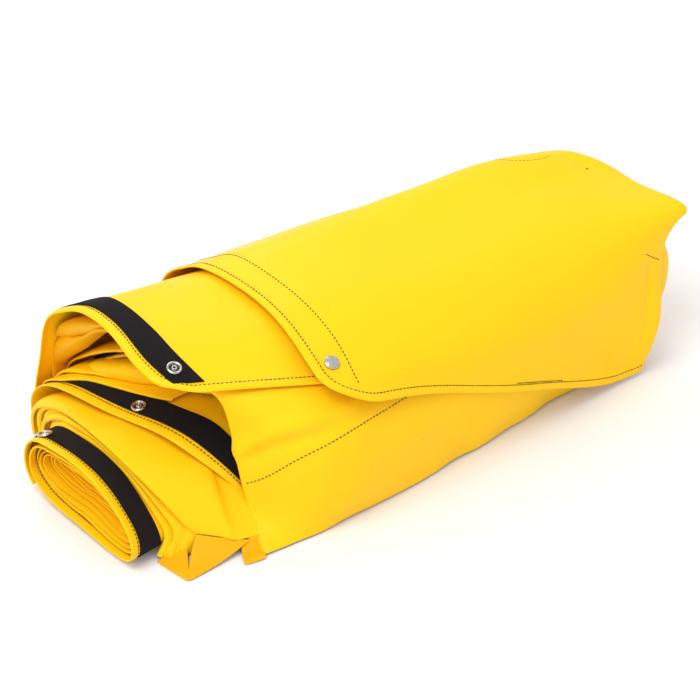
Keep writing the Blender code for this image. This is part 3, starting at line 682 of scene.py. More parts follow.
def turned(name, profile, seat, mat, steps=48, flip=False, scale=1.0, dark=None):
    """A surface of revolution on a seat (point, normal); the profile closes on the axis or on itself."""
    prof = np.array(profile, float) * scale
    p, nn = seat
    z = unit(nn[0]) * (-1.0 if flip else 1.0)
    x = unit(np.cross(z, [0.3, 1.0, 0.1]))
    y = np.cross(z, x)
    vs, fs = [], []
    n = len(prof)
    on_axis = [abs(r) < 1e-9 for r, _ in prof]
    idx = []
    for i, (r, h) in enumerate(prof):
        if on_axis[i]:
            idx.append([len(vs)] * steps)
            vs.append(p[0] + z * h)
        else:
            row = []
            for k in range(steps):
                th = 2 * math.pi * k / steps
                row.append(len(vs))
                vs.append(p[0] + z * h + (x * math.cos(th) + y * math.sin(th)) * r)
            idx.append(row)
    rng = range(n - 1) if on_axis[0] or on_axis[-1] else range(n)
    tone = []
    for i in rng:
        a, b = idx[i], idx[(i + 1) % n]
        # Faces low in the profile's middle (within the radius and height given by dark) take the near-black material:
        # painted shade in the stud's hole.
        low = dark is not None and max(prof[i][0], prof[(i + 1) % n][0]) <= dark[0] and max(prof[i][1], prof[(i + 1) % n][1]) <= dark[1]
        for k in range(steps):
            k2 = (k + 1) % steps
            f = [a[k], b[k], b[k2], a[k2]]
            g = []
            for q in f:
                if q not in g:
                    g.append(q)
            if len(g) > 2:
                fs.append(g)
                tone.append(1 if low else 0)
    ob = make_object(name, np.array(vs), fs, mat)
    if dark is not None:
        ob.data.materials.append(STUD_HOLE_SHADE)
        ob.data.polygons.foreach_set("material_index", tone)
    return ob


# ================================================================ the pieces
def finish_piece(ob, body, slot, *nodes):
    if body:
        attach(ob, body)
    if nodes:
        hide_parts(*nodes)
    return ob
SHEETS = []


def area_mm(ob):
    a = np.zeros(len(ob.data.polygons))
    ob.data.polygons.foreach_get("area", a)
    return float(a.sum())


def declare(ob, held="folded", rests=(), extra=()):
    """Cloth sheets: keeps each in a list with how it is held, what it rests on and its extra parts."""
    SHEETS.append((ob, held, list(rests), list(extra)))


def nearest(cloth, p, a0=0.0, a1=60.0):
    """Where on a cloth a point lies: its (a, d)."""
    lo, hi = np.array([a0, 0.0]), np.array([a1, cloth.D])
    for _ in range(5):
        ga, gd = np.meshgrid(np.linspace(lo[0], hi[0], 25), np.linspace(lo[1], hi[1], 81), indexing="ij")
        q, _n = cloth.at(ga.ravel(), gd.ravel())
        k = int(np.argmin(((q - p) ** 2).sum(axis=1)))
        c = np.array([ga.ravel()[k], gd.ravel()[k]])
        w = (hi - lo) * 0.12
        lo, hi = np.maximum(c - w, [a0, 0]), np.minimum(c + w, [a1, cloth.D])
    return float(c[0]), float(c[1])


def centre_mm(node):
    lo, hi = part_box(node)
    return np.array([(lo[i] + hi[i]) * 500.0 for i in range(3)])


def net(*rows):
    return [list(r) for r in rows]


def gauss(x, c, w):
    return np.exp(-((x - c) / w) ** 2)


OUT, INN, ROOT = "outer_flap", "inner_flap", "root"


def across_fold(ob):
    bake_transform(ob)
    return ob


# ---------------------------------------------------------------- outer sheet
def relief_outer(a, d):
    z = 0.9 * noise2(a / 95.0, d / 80.0, 3) + 0.35 * noise2(a / 38.0, d / 34.0, 4)
    z = z * smooth(a, 5, 60)
    # soft bend from the right end down to the middle of the front
    s = (a - 425) * 0.40 + (d - 140) * -0.92
    z = z + 1.6 * np.exp(-(s / 16.0) ** 2) * smooth(a, 190, 330)
    # slack dimples close to the front hem
    z = z + 0.9 * noise1(a / 24.0, 8) * np.exp(-((d - 26) / 18.0) ** 2) * smooth(a, 60, 110)
    # upright tuck close to the right end
    z = z - 2.2 * gauss(a, 404, 7) * smooth(d, 20, 60) * (1 - smooth(d, 120, 140))
    # notch on the ridge near the right end
    z = z - 3.0 * gauss(a, 409, 5) * gauss(d, 285, 14)
    return z


OUTER_FLAP[5] = [(300, 61, 165), (315, 30, 178), (337, -15, 173), (339, -65, 170), (340, -120, 166), (317, -116, 135),
                 (293, -137, 68), (276, -134, 6)]
OUTER_REAR[0] = [(-102, 131, 164), (-102, 152, 149), (-102, 173, 114), (-103, 188, 74), (-103, 198, 34), (-104, 202, 6)]
G = Cloth(joined(OUTER_REAR, OUTER_FLAP), curl_right=4.0, curl_back=4.0, relief=relief_outer)
GA = edged(0.0, G.A + 6.0, 4.2, HEM_EDGE, EDGE)
GD = edged(0.0, G.D, 4.6, HEM_EDGE, EDGE)
outer = cloth_piece("outer_sheet", G, GA, GD, hem=10.2, hem_front=True, corner=46.0, fit_back=4.5, seed=2)
across_fold(outer)
finish_piece(outer, None, "coated_fabric", "outer_flap_panel", "outer_rear_wrap", "outer_flap_side_hem",
             "outer_flap_front_hem")
declare(outer, "folded", ["inner_sheet"])
TOP = 1.3
g_lines = [
    path_line(G, [(8.6, G.length(0.0) - 2.0), (8.6, 8.6), (G.A + 3, 8.6)], TOP - 0.35, 46.0) + ({},),
    path_line(G, smooth_pts([(36.5, G.length(36.0) - 2.0), (36.0, 330), (36.5, 240), (37.0, 160), (36.2, 100),
                             (34.5, 50), (30.5, 19.5)], 120), 0.45) + ({},),
    path_line(G, [(205.0, 10.6), (278.0, 10.2)], TOP - 0.35) + (dict(length=3.6, pitch=4.2, radius=0.5),),
    path_line(G, smooth_pts([(352, 322), (364, 308), (383, 304), (404, 312)], 30), 0.45) + (dict(radius=0.26),),
    path_line(G, smooth_pts([(407, 279), (411, 282), (415, 286)], 20), 0.45) + (dict(length=4.4, pitch=4.6, radius=0.8),),
    path_line(G, smooth_pts([(389, 137), (404, 130), (424, 122)], 20), 0.45) + (dict(length=3.5, pitch=4.0, radius=0.42),),
]
ob = stitches("outer_sheet_stitching", g_lines)
across_fold(ob)
finish_piece(ob, None, "coated_fabric")


def band(name, cloth, a0, a1, d0, fit, offset, corner=0.0, thick=1.5, seed=4, d1=None):
    """Hook-and-loop tape: a thick woven strip with soft selvedges."""
    A = edged(a0, a1, 2.6, (0, 0.15, 0.5, 1.2), (0, 0.15, 0.5, 1.2))
    D = edged(d0, d1 or cloth.D, 3.2, (0, 0.2, 0.6, 1.4), (0, 0.2, 0.6, 1.4))
    ga, gd = np.meshgrid(A, D, indexing="ij")
    d_use = gd.copy()
    if fit is not None:
        L = cloth.length(np.clip(ga, 0, cloth.A)) + fit
        d_use = gd + (L - D[-1]) * (gd / D[-1]) * smooth(gd, 60.0, D[-1])
    wob = 0.35 * noise1(d_use / 26.0, seed) * np.where(ga < (a0 + a1) / 2, 1.0, -1.0)
    ca, cd = round_corner(ga + wob, d_use, corner)
    b = rim(ga, gd, (1, 1, 1, 1))
    f = lip(b, 0.7)
    fuzz = 0.12 * noise2(ca / 1.6, cd / 1.6, seed + 1)
    s = 1.0 if offset >= 0 else -1.0
    up = offset + s * 0 + 0.5 * thick * f + fuzz * f
    dn = offset - 0.5 * thick * f
    return skin(name, cloth.at, ca, cd, up, dn, np.stack([ca, cd], -1), TAPE)


ob = band("outer_sheet_hook_band", G, 12.0, 34.5, 44.0, None, -1.35, d1=258.0)
across_fold(ob)
finish_piece(ob, None, "hook_loop_tape", "outer_flap_hook_band")

# press stud cap, domed with a rolled edge, on the outer sheet's corner
ga_, gd_ = nearest(G, centre_mm("outer_flap_snap_cap"))
cap_seat = G.at(ga_, gd_, 0.85)
CAP = ([(0.0, 3.3)] + [(r, 2.15 + 1.15 * math.cos(r / 6.1 * math.pi / 2)) for r in (0.7, 1.5, 2.4, 3.3, 4.2, 5.0, 5.7)]
       + [(6.1, 2.1), (6.35, 1.95), (6.6, 1.98), (6.95, 1.92), (7.25, 1.7), (7.45, 1.35), (7.5, 0.95), (7.4, 0.5),
          (7.2, 0.15), (7.1, -0.5), (0.0, -0.5)])
ob = turned("snap_cap", CAP, cap_seat, METAL, steps=56)
finish_piece(ob, OUT, "snap_metal", "outer_flap_snap_cap")
SOCKET = ([(0.0, 0.7), (1.3, 0.75), (1.75, 0.95), (2.0, 1.5), (2.1, 2.3), (2.35, 2.75), (2.8, 2.95), (3.3, 2.85),
           (3.65, 2.4), (3.9, 1.7), (4.3, 1.25), (4.9, 1.1), (5.4, 1.2), (5.9, 1.25), (6.3, 1.05), (6.5, 0.65),
           (6.4, 0.1), (6.3, -0.4), (0.0, -0.4)])
ga_, gd_ = nearest(G, centre_mm("outer_flap_snap_socket"))
ob = turned("snap_socket", SOCKET, G.at(ga_, gd_, -2.0), METAL, steps=48, flip=True)
finish_piece(ob, OUT, "snap_metal", "outer_flap_snap_socket")

RING = ([(0.0, 0.25), (1.0, 0.25), (1.15, 0.45), (1.25, 1.35), (1.45, 1.8), (1.85, 2.0), (2.3, 1.9), (2.55, 1.5),
         (2.7, 0.7), (2.95, 0.3), (3.6, 0.22), (4.4, 0.22), (4.75, 0.35), (4.95, 0.9), (5.15, 1.5), (5.5, 1.9),
         (6.05, 2.05), (6.6, 1.95), (7.1, 1.55), (7.4, 1.0), (7.5, 0.5), (7.4, 0.1), (7.3, -0.5), (0.0, -0.5)])


# ---------------------------------------------------------------- inner sheet
def relief_inner(a, d):
    z = 0.8 * noise2(a / 80.0, d / 70.0, 13) + 0.3 * noise2(a / 34.0, d / 30.0, 14)
    return z * smooth(a, 0, 50) - 0.6 * gauss(d, 24, 14) * smooth(a, 30, 70)


F = Cloth(joined(INNER_REAR, INNER_FLAP), curl_left=17.0, curl_right=6.0, curl_front=8.0, curl_back=4.0,
          relief=relief_inner)
FA = edged(-9.8, F.A + 8.0, 4.8, HEM_EDGE, EDGE)
FD = edged(-4.0, F.D, 4.8, HEM_EDGE, EDGE)


def inner_piece():
    A, D = FA, FD
    ga, gd = np.meshgrid(A, D, indexing="ij")
    L = F.length(np.clip(ga, 0, F.A)) + 4.0
    lim = D[-1]
    d_use = gd + (L - lim) * (np.maximum(gd, 0) / lim) * smooth(gd, 60.0, lim)
    sa, sd = round_corner(ga + 9.8, d_use + 4.0, 30.0)
    ca, cd = sa - 9.8, sd - 4.0
    dist = np.minimum(ga + 9.8, d_use + 4.0)
    h = hem_height(dist, 10.2) * (1 + 0.12 * noise1((ca + cd) / 14.0, 21))
    h = h + 0.15 * noise1((ca + cd) / 8.0, 26) * np.exp(-((dist - 9) / 4.0) ** 2)
    b = rim(ga, gd, (1, 1, 1, 1))
    hh = h * lip(b, 1.2)
    f = lip(b, 0.9)
    return skin("inner_sheet", F.at, ca, cd, 0.45 * f + hh, -0.45 * f - 0.35 * np.maximum(hh, 0),
                np.stack([ca, cd], -1))


inner = inner_piece()
across_fold(inner)
finish_piece(inner, None, "coated_fabric", "inner_flap_panel", "inner_rear_wrap", "inner_flap_side_hem",
             "inner_flap_front_hem")
declare(inner, "folded", ["front_wrap_sheet"])
sq = [(8.6, F.length(0.0) + 2.0), (8.6, 8.6), (F.A + 12.0, 8.6)]
pts = []
for i in range(2):
    n = int(np.hypot(sq[i + 1][0] - sq[i][0], sq[i + 1][1] - sq[i][1]) / 1.5)
    for k in range(n):
        pts.append((sq[i][0] + (sq[i + 1][0] - sq[i][0]) * k / n, sq[i][1] + (sq[i + 1][1] - sq[i][1]) * k / n))
pts = np.array(pts)
ra_, rd_ = round_corner(pts[:, 0], pts[:, 1], 30.0)
f_lines = [path_line(F, np.stack([ra_ - 9.8, rd_ - 4.0], -1), TOP - 0.35) + ({},)]
ob = stitches("inner_sheet_stitching", f_lines, seed=5)
across_fold(ob)
finish_piece(ob, None, "coated_fabric")
ob = band("inner_sheet_loop_band", F, 1.2, 27.5, 8.4, -3.0, 1.25, corner=14.0, seed=9)
across_fold(ob)
finish_piece(ob, None, "hook_loop_tape", "inner_flap_loop_band")
ga_, gd_ = nearest(F, centre_mm("inner_flap_snap_ring"))
ob = turned("snap_ring_inner", RING, F.at(ga_, gd_, 2.2), METAL, steps=56, dark=(4.8, 0.5))
finish_piece(ob, INN, "snap_metal", "inner_flap_snap_ring")


# ----------------------------------------------------------------- front wrap
def relief_front(a, d):
    z = 1.0 * noise2(a / 60.0, d / 46.0, 31) + 0.35 * noise2(a / 26.0, d / 22.0, 32)
    z = z * smooth(a, 6, 40)
    # soft crease from the left edge, rising to the right
    s = d - (92 + 0.16 * a + 6 * np.sin(a / 60.0))
    z = z - 4.2 * np.exp(-(s / 6.0) ** 2) * (1 - smooth(a, 60, 150)) * smooth(a, 1, 14)
    z = z + 2.6 * np.exp(-((s - 13) / 8.0) ** 2) * (1 - smooth(a, 60, 150))
    # pull lines fanning up from the lower left
    for k, (a0, g, am) in enumerate(((40, 0.5, 0.9), (84, 0.32, 0.7), (150, 0.2, 0.6), (230, 0.1, 0.5))):
        s = a - (a0 + g * d)
        z = z + am * np.exp(-(s / 8.0) ** 2) * smooth(d, 6, 30) * (1 - smooth(d, 60, 120))
    # bottom edge lies in shallow waves
    z = z + 1.6 * noise1(a / 34.0, 36) * (1 - smooth(d, 0, 34))
    return z


E = Cloth(FRONT_WRAP, curl_left=2.6, curl_front=2.2, relief=relief_front)
EA = edged(-7.0, E.A, 4.6, (0, 0.6, 1.4, 2.4, 3.6, 4.8, 6.0, 7.0, 8.2, 10), EDGE)
ED = edged(0.0, E.D, 4.4, EDGE, EDGE)
front = cloth_piece("front_wrap_sheet", E, EA, ED, seed=6, fit_back=0.0)
for v in front.data.vertices:       # nothing reaches under the floor
    if v.co.z < 0.0004:
        v.co.z = 0.0004
finish_piece(front, ROOT, "coated_fabric", "front_wrap")
declare(front, "folded", ["base_sheet"])
e_lines = [path_line(E, smooth_pts([(1.0, 72), (12, 70.5), (52.5, 87), (106, 103), (152, 104.5), (200, 108),
                                    (300, 112), (430, 116)], 160), 0.42) + ({},)]
ob = stitches("front_wrap_stitching", e_lines, seed=7)
finish_piece(ob, ROOT, "coated_fabric")


# ---------------------------------------------------------------- middle wrap
def relief_middle(a, d):
    return (0.8 * noise2(a / 60.0, d / 50.0, 41) * smooth(a, 10, 60)
            + 0.7 * noise1(d / 40.0, 42) * gauss(a, 6, 16))


M = Cloth(MIDDLE_WRAP, curl_left=10.0, curl_back=5.0, relief=relief_middle)
MA = edged(-1.5, M.A, 6.0, HEM_EDGE, EDGE)
MD = edged(12.0, M.D, 5.0, EDGE, EDGE)
middle = cloth_piece("middle_wrap_sheet", M, MA, MD, hem=10.4, fit_back=5.0, seed=8)
finish_piece(middle, ROOT, "coated_fabric", "middle_wrap", "middle_side_hem")
declare(middle, "folded", ["core_sheet"])
m_lines = [path_line(M, [(7.4, 12.0), (7.4, M.length(7.0) - 4)], TOP - 0.35) + ({},)]
ob = stitches("middle_wrap_stitching", m_lines, seed=9)
finish_piece(ob, ROOT, "coated_fabric")
ob = band("middle_wrap_loop_band", M, 10.4, 37.0, 11.0, -4.0, 1.25, seed=12)
finish_piece(ob, ROOT, "hook_loop_tape", "middle_loop_band")
ga_, gd_ = nearest(M, centre_mm("middle_snap_ring"))
ob = turned("snap_ring_middle", RING, M.at(ga_, gd_, 2.2), METAL, steps=56, dark=(4.8, 0.5))
finish_piece(ob, ROOT, "snap_metal", "middle_snap_ring")

# ----------------------------------------------------------------- lower wrap
LOWER_ENDS = [[(-242, -47, 31), (-235, -54, 21)], [(-221, -56, 35), (-219, -68, 17)],
              [(-201, -56, 35), (-206, -78, 13)], [(-176, -57, 35), (-180, -86, 10)]]
LOWER_IN = [(-165, 170, 8), (-165, 170, 40), (-165, 146, 66), (-165, 84, 84), (-164, 18, 88), (-164, -16, 77),
            (-171, -46, 49)]
LOWER_ALL = [r[:7] + e for r, e in zip(LOWER_WRAP + [LOWER_IN], LOWER_ENDS)]


def relief_lower(a, d):
    z = 0.9 * noise2(a / 40.0, d / 44.0, 51) * smooth(a, 4, 24)
    s = (d - 150) - 1.6 * (a - 20)
    return z + 1.0 * np.exp(-(s / 14.0) ** 2) * smooth(a, 4, 20)


L = Cloth(LOWER_ALL, curl_left=1.8, curl_back=5.0, relief=relief_lower)
LA = edged(-5.4, L.A, 4.0, (0, 0.5, 1.2, 2.1, 3.2, 4.4, 5.4, 6.4, 8), EDGE)
LD = edged(0.0, L.D, 4.2, EDGE, EDGE)
lower = cloth_piece("lower_wrap_sheet", L, LA, LD, seed=10, fit_back=5.0)
finish_piece(lower, ROOT, "coated_fabric", "lower_wrap")
declare(lower, "folded", ["core_sheet"])

# facet that folds under the lower wrap, and the ply on the floor in front of it
FACET = [
    [(-235.5, -54.5, 20.5), (-248, -62, 10), (-267.5, -81.5, 1.9)],
    [(-219, -68.5, 16.5), (-234, -72, 8.5), (-266.5, -82.2, 1.8)],
    [(-196, -83, 10.5), (-224, -83.5, 4.8), (-265, -83, 1.7)],
]
FLOORPLY = [
    [(-272.5, -41, 1.5), (-271, -60, 1.4), (-268.6, -81, 1.4)],
    [(-259, -44, 4.5), (-261.5, -62, 3.2), (-267.8, -81.8, 1.5)],
    [(-244, -50, 9.0), (-255, -64, 5.6), (-267.2, -82.3, 1.6)],
]
TUCK = [
    [(-203, -79, 9.5), (-210, -90, 2.6), (-214, -97, 2.8), (-215, -99, 1.3)],
    [(-196, -81, 11), (-202, -92, 2.6), (-205, -100, 3.4), (-206, -102, 1.3)],
    [(-184, -84, 12), (-190, -95, 2.6), (-194, -102, 3.4), (-195, -104, 1.3)],
]
# The facet, floor ply and tuck take the darker fabric copy: painted shade.
for nm, rows in (("lower_wrap_facet", FACET), ("lower_wrap_floor_ply", FLOORPLY), ("front_wrap_tuck", TUCK)):
    q = Cloth(rows, curl_left=1.0, curl_front=1.0)
    ob = cloth_piece(nm, q, edged(-1.5, q.A, 3.0, EDGE, EDGE), edged(0.0, q.D, 3.0, EDGE, EDGE), SHADED_FABRIC_COPY, seed=11,
                     fit_back=0.0)
    finish_piece(ob, ROOT, "coated_fabric", *(("lower_wrap_corner",) if nm.endswith("facet") else ()))
    declare(ob, "folded", ["base_sheet"])

# ------------------------------------------------------------------ fan folds
for k, w in enumerate((0.12, 0.29, 0.50, 0.66, 0.87)):
    rows = []
    for i, x in enumerate((-260.0, -232.0, -204.0)):
        out_row = LOWER_ALL[min(i, 2)]
        row = []
        for j in range(8):
            iy, iz = FAN_INNER[j]
            ox, oy, oz = out_row[j]
            ox = ox + (4.0 if i == 0 else 0.0)
            if i == 2:
                ox = min(ox, -204.0)
            row.append((x + (ox - x) * w + (0.0, 4.5, -1.5, 4.0, 1.0)[k], iy + (oy - iy) * w, iz + (oz - iz) * w))
        fx, fy = ((-271, -39), (-248, -39), (-222, -39))[i]
        gx_, gy_ = ((-250, -54), (-236, -58), (-214, -64))[i]
        row.append((fx + (gx_ - fx) * w, fy + (gy_ - fy) * w, 2.6))
        rows.append(row)
    q = Cloth(rows, curl_left=2.3, curl_back=3.0,
              relief=lambda a, d, k=k: 0.5 * noise1(d / 30.0, 60 + k) + 0.4 * noise2(a / 20.0, d / 26.0, 64 + k))
    ob = cloth_piece("fan_ply_%d" % (k + 1), q,
                     edged(-7.0, q.A, 4.0, (0, 0.6, 1.4, 2.4, 3.6, 4.8, 6.0, 7.0, 8.2), EDGE),
                     edged(0.0, q.D, 4.0, EDGE, EDGE), seed=70 + k, fit_back=0.0,
                     shift=lambda d, k=k: 1.6 * noise1(d / 38.0, 75 + k))
    finish_piece(ob, ROOT, "coated_fabric", *(("fan_fold_%d" % (k + 1),) if k < 4 else ()))
    declare(ob, "folded", ["core_sheet"])


# ------------------------------------------------------------------ core roll
INNER_PITCH = 3.7


class Core:
    """The flattened roll; turn counts from the rear, over the top, going inwards."""

    def __init__(self):
        n = len(CORE_TURN[0][1])
        rows = []
        for x, sec in CORE_TURN:
            idx = list(range(n - 3, n)) + list(range(n)) + [0, 1, 2, 3]
            rows.append([(x, sec[i][0], sec[i][1]) for i in idx])
        self.sheet = Net(rows)
        self.v0, self.v1 = self.sheet.kv[3], self.sheet.kv[3 + n]
        self.xs = np.array([x for x, _ in CORE_TURN], float)
        self.x0, self.x1 = self.xs[0], self.xs[-1]

    def point(self, x, turn, n=0.0):
        x = np.atleast_1d(np.asarray(x, float))
        turn = np.atleast_1d(np.asarray(turn, float))
        x, turn = np.broadcast_arrays(x, turn)
        u = np.interp(x, self.xs, self.sheet.ku)
        f = turn - np.floor(turn)
        v = self.v0 + (self.v1 - self.v0) * f
        e = 1e-3
        p = self.sheet.uv(u, v)
        du = self.sheet.uv(np.minimum(u + e, 1), v) - self.sheet.uv(np.maximum(u - e, 0), v)
        dv = self.sheet.uv(u, v + e) - self.sheet.uv(u, v - e)
        nn = unit(np.cross(dv, du))
        # the inner turns lie closer, and a little unevenly on each other
        inset = CORE_PITCH * np.minimum(turn, 1.1) + INNER_PITCH * np.maximum(turn - 1.1, 0.0)
        deep = smooth(turn, 0.8, 2.0)
        frac = turn - np.floor(turn)
        inset = inset + deep * (1.5 * noise2(4.0 + 3.0 * np.cos(2 * math.pi * frac), 4.0 + 3.0 * np.sin(2 * math.pi * frac) + 0.08 * turn, 81)
                                + 0.55 * noise2(turn * 15.0, x / 40.0, 82))
        drift = np.interp(x, [-200.0, 236.0], [0.0, -38.0])
        cy = CORE_MID[0] - CY + drift
        cz = CORE_MID[1]
        q = p.copy()
        q[:, 1] = cy + (p[:, 1] - cy) * (1.0 - inset / 86.0)
        q[:, 2] = cz + (p[:, 2] - cz) * (1.0 - inset / 36.0)
        return q + np.asarray(n, float).reshape(-1, 1) * nn, nn


CR = Core()
N_TURN = 8.3
turn_st = np.concatenate([np.linspace(0, 0.01, 4)[:-1], np.linspace(0.01, 1.05, 190)[:-1],
                          np.linspace(1.05, N_TURN - 0.01, 960)[:-1], np.linspace(N_TURN - 0.01, N_TURN, 4)])
x_st = edged(CR.x0, CR.x0 + 60, 5.0, HEM_EDGE, (0,))
x_st = np.concatenate([x_st, np.linspace(CR.x0 + 60, CR.x1, 14)[1:]])
gx, gt = np.meshgrid(x_st, turn_st, indexing="ij")
recess = 3.0 * smooth(gt, 0.85, 1.3) + 7.0 * smooth(gt, 1.3, 2.4) + 13.0 * smooth(gt, 2.4, 7.0)
recess = recess + smooth(gt, 0.9, 1.6) * 2.4 * noise1(gt * 5.0, 83)
px_ = gx + recess * np.clip(1.0 - (gx - CR.x0) / 70.0, 0, 1)
d_edge = gx - CR.x0
h = hem_height(d_edge, 10.4) * (1 - 0.75 * smooth(gt, 1.6, 2.4)) * (1 + 0.1 * noise1(gt * 40.0, 84))
b = np.minimum(d_edge, CR.x1 - gx)
b = np.minimum(b, np.minimum(gt, N_TURN - gt) * 420.0)
hh = h * lip(b, 1.2)
f = lip(b, 0.9)
# the cloth's run along the roll, measured at one place along its length
p_, _n = CR.point(np.full(len(turn_st), CR.x0 + 150.0), turn_st)
run_ = np.concatenate([[0.0], np.cumsum(np.linalg.norm(np.diff(p_, axis=0), axis=1))])
core = skin("core_sheet", CR.point, px_, gt, (0.45 * f + hh), (-0.45 * f - 0.35 * np.maximum(hh, 0)),
            np.stack([px_, np.interp(gt, turn_st, run_)], -1), flip=True)
finish_piece(core, ROOT, "coated_fabric", "core_roll", "core_side_hem", "core_inner_fold_1",
             "core_inner_fold_2", "core_inner_fold_3")


def core_line(x_of, t0, t1, n):
    t = np.linspace(t0, t1, int(abs(t1 - t0) * 320) + 4)
    xx = np.array([x_of(k) for k in t])
    p, nn = CR.point(xx, t, n)
    if n < 0:
        nn = -nn
    run = np.concatenate([[0.0], np.cumsum(np.linalg.norm(np.diff(p, axis=0), axis=1))])

    def fn(s):
        q = np.stack([np.interp(s, run, p[:, i]) for i in range(3)], -1)
        m = unit(np.stack([np.interp(s, run, nn[:, i]) for i in range(3)], -1))
        return q, m
    return fn, float(run[-1]), {}


def recess_at(t):
    return float(3.0 * smooth(np.array(t), 0.85, 1.3) + 7.0 * smooth(np.array(t), 1.3, 2.4)
                 + smooth(np.array(t), 0.9, 1.6) * 2.4 * noise1(np.array([t * 5.0]), 83)[0])


c_lines = [core_line(lambda t: CR.x0 + 8.8 + recess_at(t), 0.03, 0.98, TOP - 0.35),
           core_line(lambda t: CR.x0 + 8.8 + recess_at(t), 0.05, 1.9, -0.80)]
ob = stitches("core_stitching", c_lines, seed=13)
finish_piece(ob, ROOT, "coated_fabric")
c_stitch = ob
t_st = np.concatenate([[0.06, 0.0604, 0.0612], np.linspace(0.063, 0.637, 150), [0.6388, 0.6396, 0.64]])
x_b = edged(CR.x0 + 11.2, CR.x0 + 37.2, 2.6, (0, 0.15, 0.5, 1.2), (0, 0.15, 0.5, 1.2))
gx, gt = np.meshgrid(x_b, t_st, indexing="ij")
b = np.minimum(rim(gx, gt, (1, 1, 0, 0)), np.minimum(gt - 0.06, 0.64 - gt) * 430.0)
f = lip(b, 0.7)
fuzz = 0.12 * noise2(gx / 1.6, gt * 430 / 1.6, 15)
ob = skin("core_loop_band_tape", CR.point, gx + 0.35 * noise1(gt * 16, 16), gt, 1.25 + 0.75 * f + fuzz * f,
          1.25 - 0.75 * f, np.stack([gx, gt * 430.0], -1), TAPE, flip=True)
finish_piece(ob, ROOT, "hook_loop_tape", "core_loop_band")
c_band = ob
c = centre_mm("core_snap_ring")
tt = np.linspace(0.05, 0.4, 400)
pp, _ = CR.point(np.full(400, CR.x0 + 14), tt)
k = int(np.argmin(((pp - c) ** 2).sum(axis=1)))
ob = turned("snap_ring_core", RING, CR.point(CR.x0 + 14, tt[k], 2.3), METAL, steps=56, dark=(4.8, 0.5))
finish_piece(ob, ROOT, "snap_metal", "core_snap_ring")
declare(core, "folded", ["base_sheet"], [c_stitch, c_band])


# --------------------------------------------------- folded stack in the middle
def serpentine(x, levels, r=2.6, phase=0):
    """Section of a zigzag of plies: points (y, z) from the lowest ply to the top one.
    Each level is (y_front, y_rear, z_front, z_rear, crown)."""
    pts = []
    for i, (yf, yr, zf, zr, cr) in enumerate(levels):
        s = np.linspace(0.0, 1.0, 7)
        y = yf + (yr - yf) * s
        z = zf + (zr - zf) * s + cr * np.sin(math.pi * s)
        row = [(float(a), float(b)) for a, b in zip(y, z)]
        if i % 2 == 1 - phase:
            row = row[::-1]
        pts += row
        if i + 1 < len(levels):
            nxt = levels[i + 1]
            if i % 2 == phase:      # turn at the rear
                y0, z0, z1 = yr, zr, nxt[3]
                yn = nxt[1]
                sgn = 1.0
            else:
                y0, z0, z1 = yf, zf, nxt[2]
                yn = nxt[0]
                sgn = -1.0
            rad = 0.5 * (z1 - z0)
            for th in (0.30, 0.62):
                ang = math.pi * th
                pts.append((0.5 * (y0 + yn) + sgn * rad * 1.15 * math.sin(ang), 0.5 * (z0 + z1) - rad * math.cos(ang)))
    return pts


def stack_rows(xs, levels_of):
    rows = []
    for x in xs:
        rows.append([(x, y, z) for y, z in serpentine(x, levels_of(x))])
    return rows


def rear_y(x, d):
    return 136.0 - d - 0.194 * x


def front_y(x, d):
    return -86.0 + d + 58.0 * (1.0 - float(smooth(np.array(x), -190.0, -110.0)))


def stack_levels(x):
    k = float(smooth(np.array(x), -190.0, -40.0))
    lv = []
    for i, (z, df, dr) in enumerate(((106, 6, 8), (111.5, 10, 12), (117, 6, 10), (124.5, 24, 20), (130, 28, 26),
                                     (136, 24, 24))):
        cr = 2.0 + 1.2 * math.sin(i * 2.1)
        lv.append((front_y(x, df) + 3.0 * math.sin(i * 1.7 + x / 60.0), rear_y(x, dr) - 2.5 * math.sin(i * 2.3 + x / 80.0),
                   z - 2.2 + 0.5 * math.sin(x / 50.0 + i), z - 1.0, cr * (0.4 + 0.6 * k)))
    return lv


XS = [-96, -60, -10, 50, 110, 180, 252]
stack = Cloth(stack_rows(XS, stack_levels), relief=lambda a, d: 0.35 * noise2(a / 40.0, d / 46.0, 91))
SA = edged(-0.0, stack.A, 9.0, (0, 0.3, 0.9, 2.0, 4.5), EDGE)
SD = edged(0.0, stack.D, 4.5, EDGE, EDGE)
ob = cloth_piece("stack_sheet", stack, SA, SD, seed=14, fit_back=0.0,
                 shift=lambda d: 5.0 * noise1(d / 150.0, 92) + 1.5 * noise1(d / 40.0, 93))
finish_piece(ob, ROOT, "coated_fabric", "stack_fold_1", "stack_fold_2")
declare(ob, "folded", ["middle_wrap_sheet"])


def upper_levels(x):
    lv = []
    for i, (z, y0) in enumerate(((143.5, 44), (149.5, 40), (155.0, 52))):
        lv.append((y0 - 0.15 * x + 3.0 * math.sin(i * 1.9 + x / 70.0), rear_y(x, 50) - 3.0 * math.sin(i + x / 90.0),
                   z - 1.0, z - 0.4, 0.8))
    return lv


stack2 = Cloth(stack_rows([-104, -60, 0, 60, 150, 252], upper_levels),
               relief=lambda a, d: 0.3 * noise2(a / 40.0, d / 46.0, 94))
ob = cloth_piece("stack_top_sheet", stack2, edged(0.0, stack2.A, 9.0, (0, 0.3, 0.9, 2.0, 4.5), EDGE),
                 edged(0.0, stack2.D, 4.5, EDGE, EDGE), seed=15, fit_back=0.0,
                 shift=lambda d: 3.0 * noise1(d / 60.0, 95))
finish_piece(ob, ROOT, "coated_fabric", "stack_fold_3")
declare(ob, "folded", ["stack_sheet"])

# ------------------------------------ plies that show in the mouth under the flap
def on_cloth(cloth, a, d, n):
    """Net-frame points at height n over a cloth."""
    p, m = cloth.at(np.asarray(a, float), np.asarray(d, float))
    p = p + np.asarray(n, float).reshape(-1, 1) * m + np.array([CX, CY, 0.0])
    return [tuple(float(c) for c in q) for q in p]


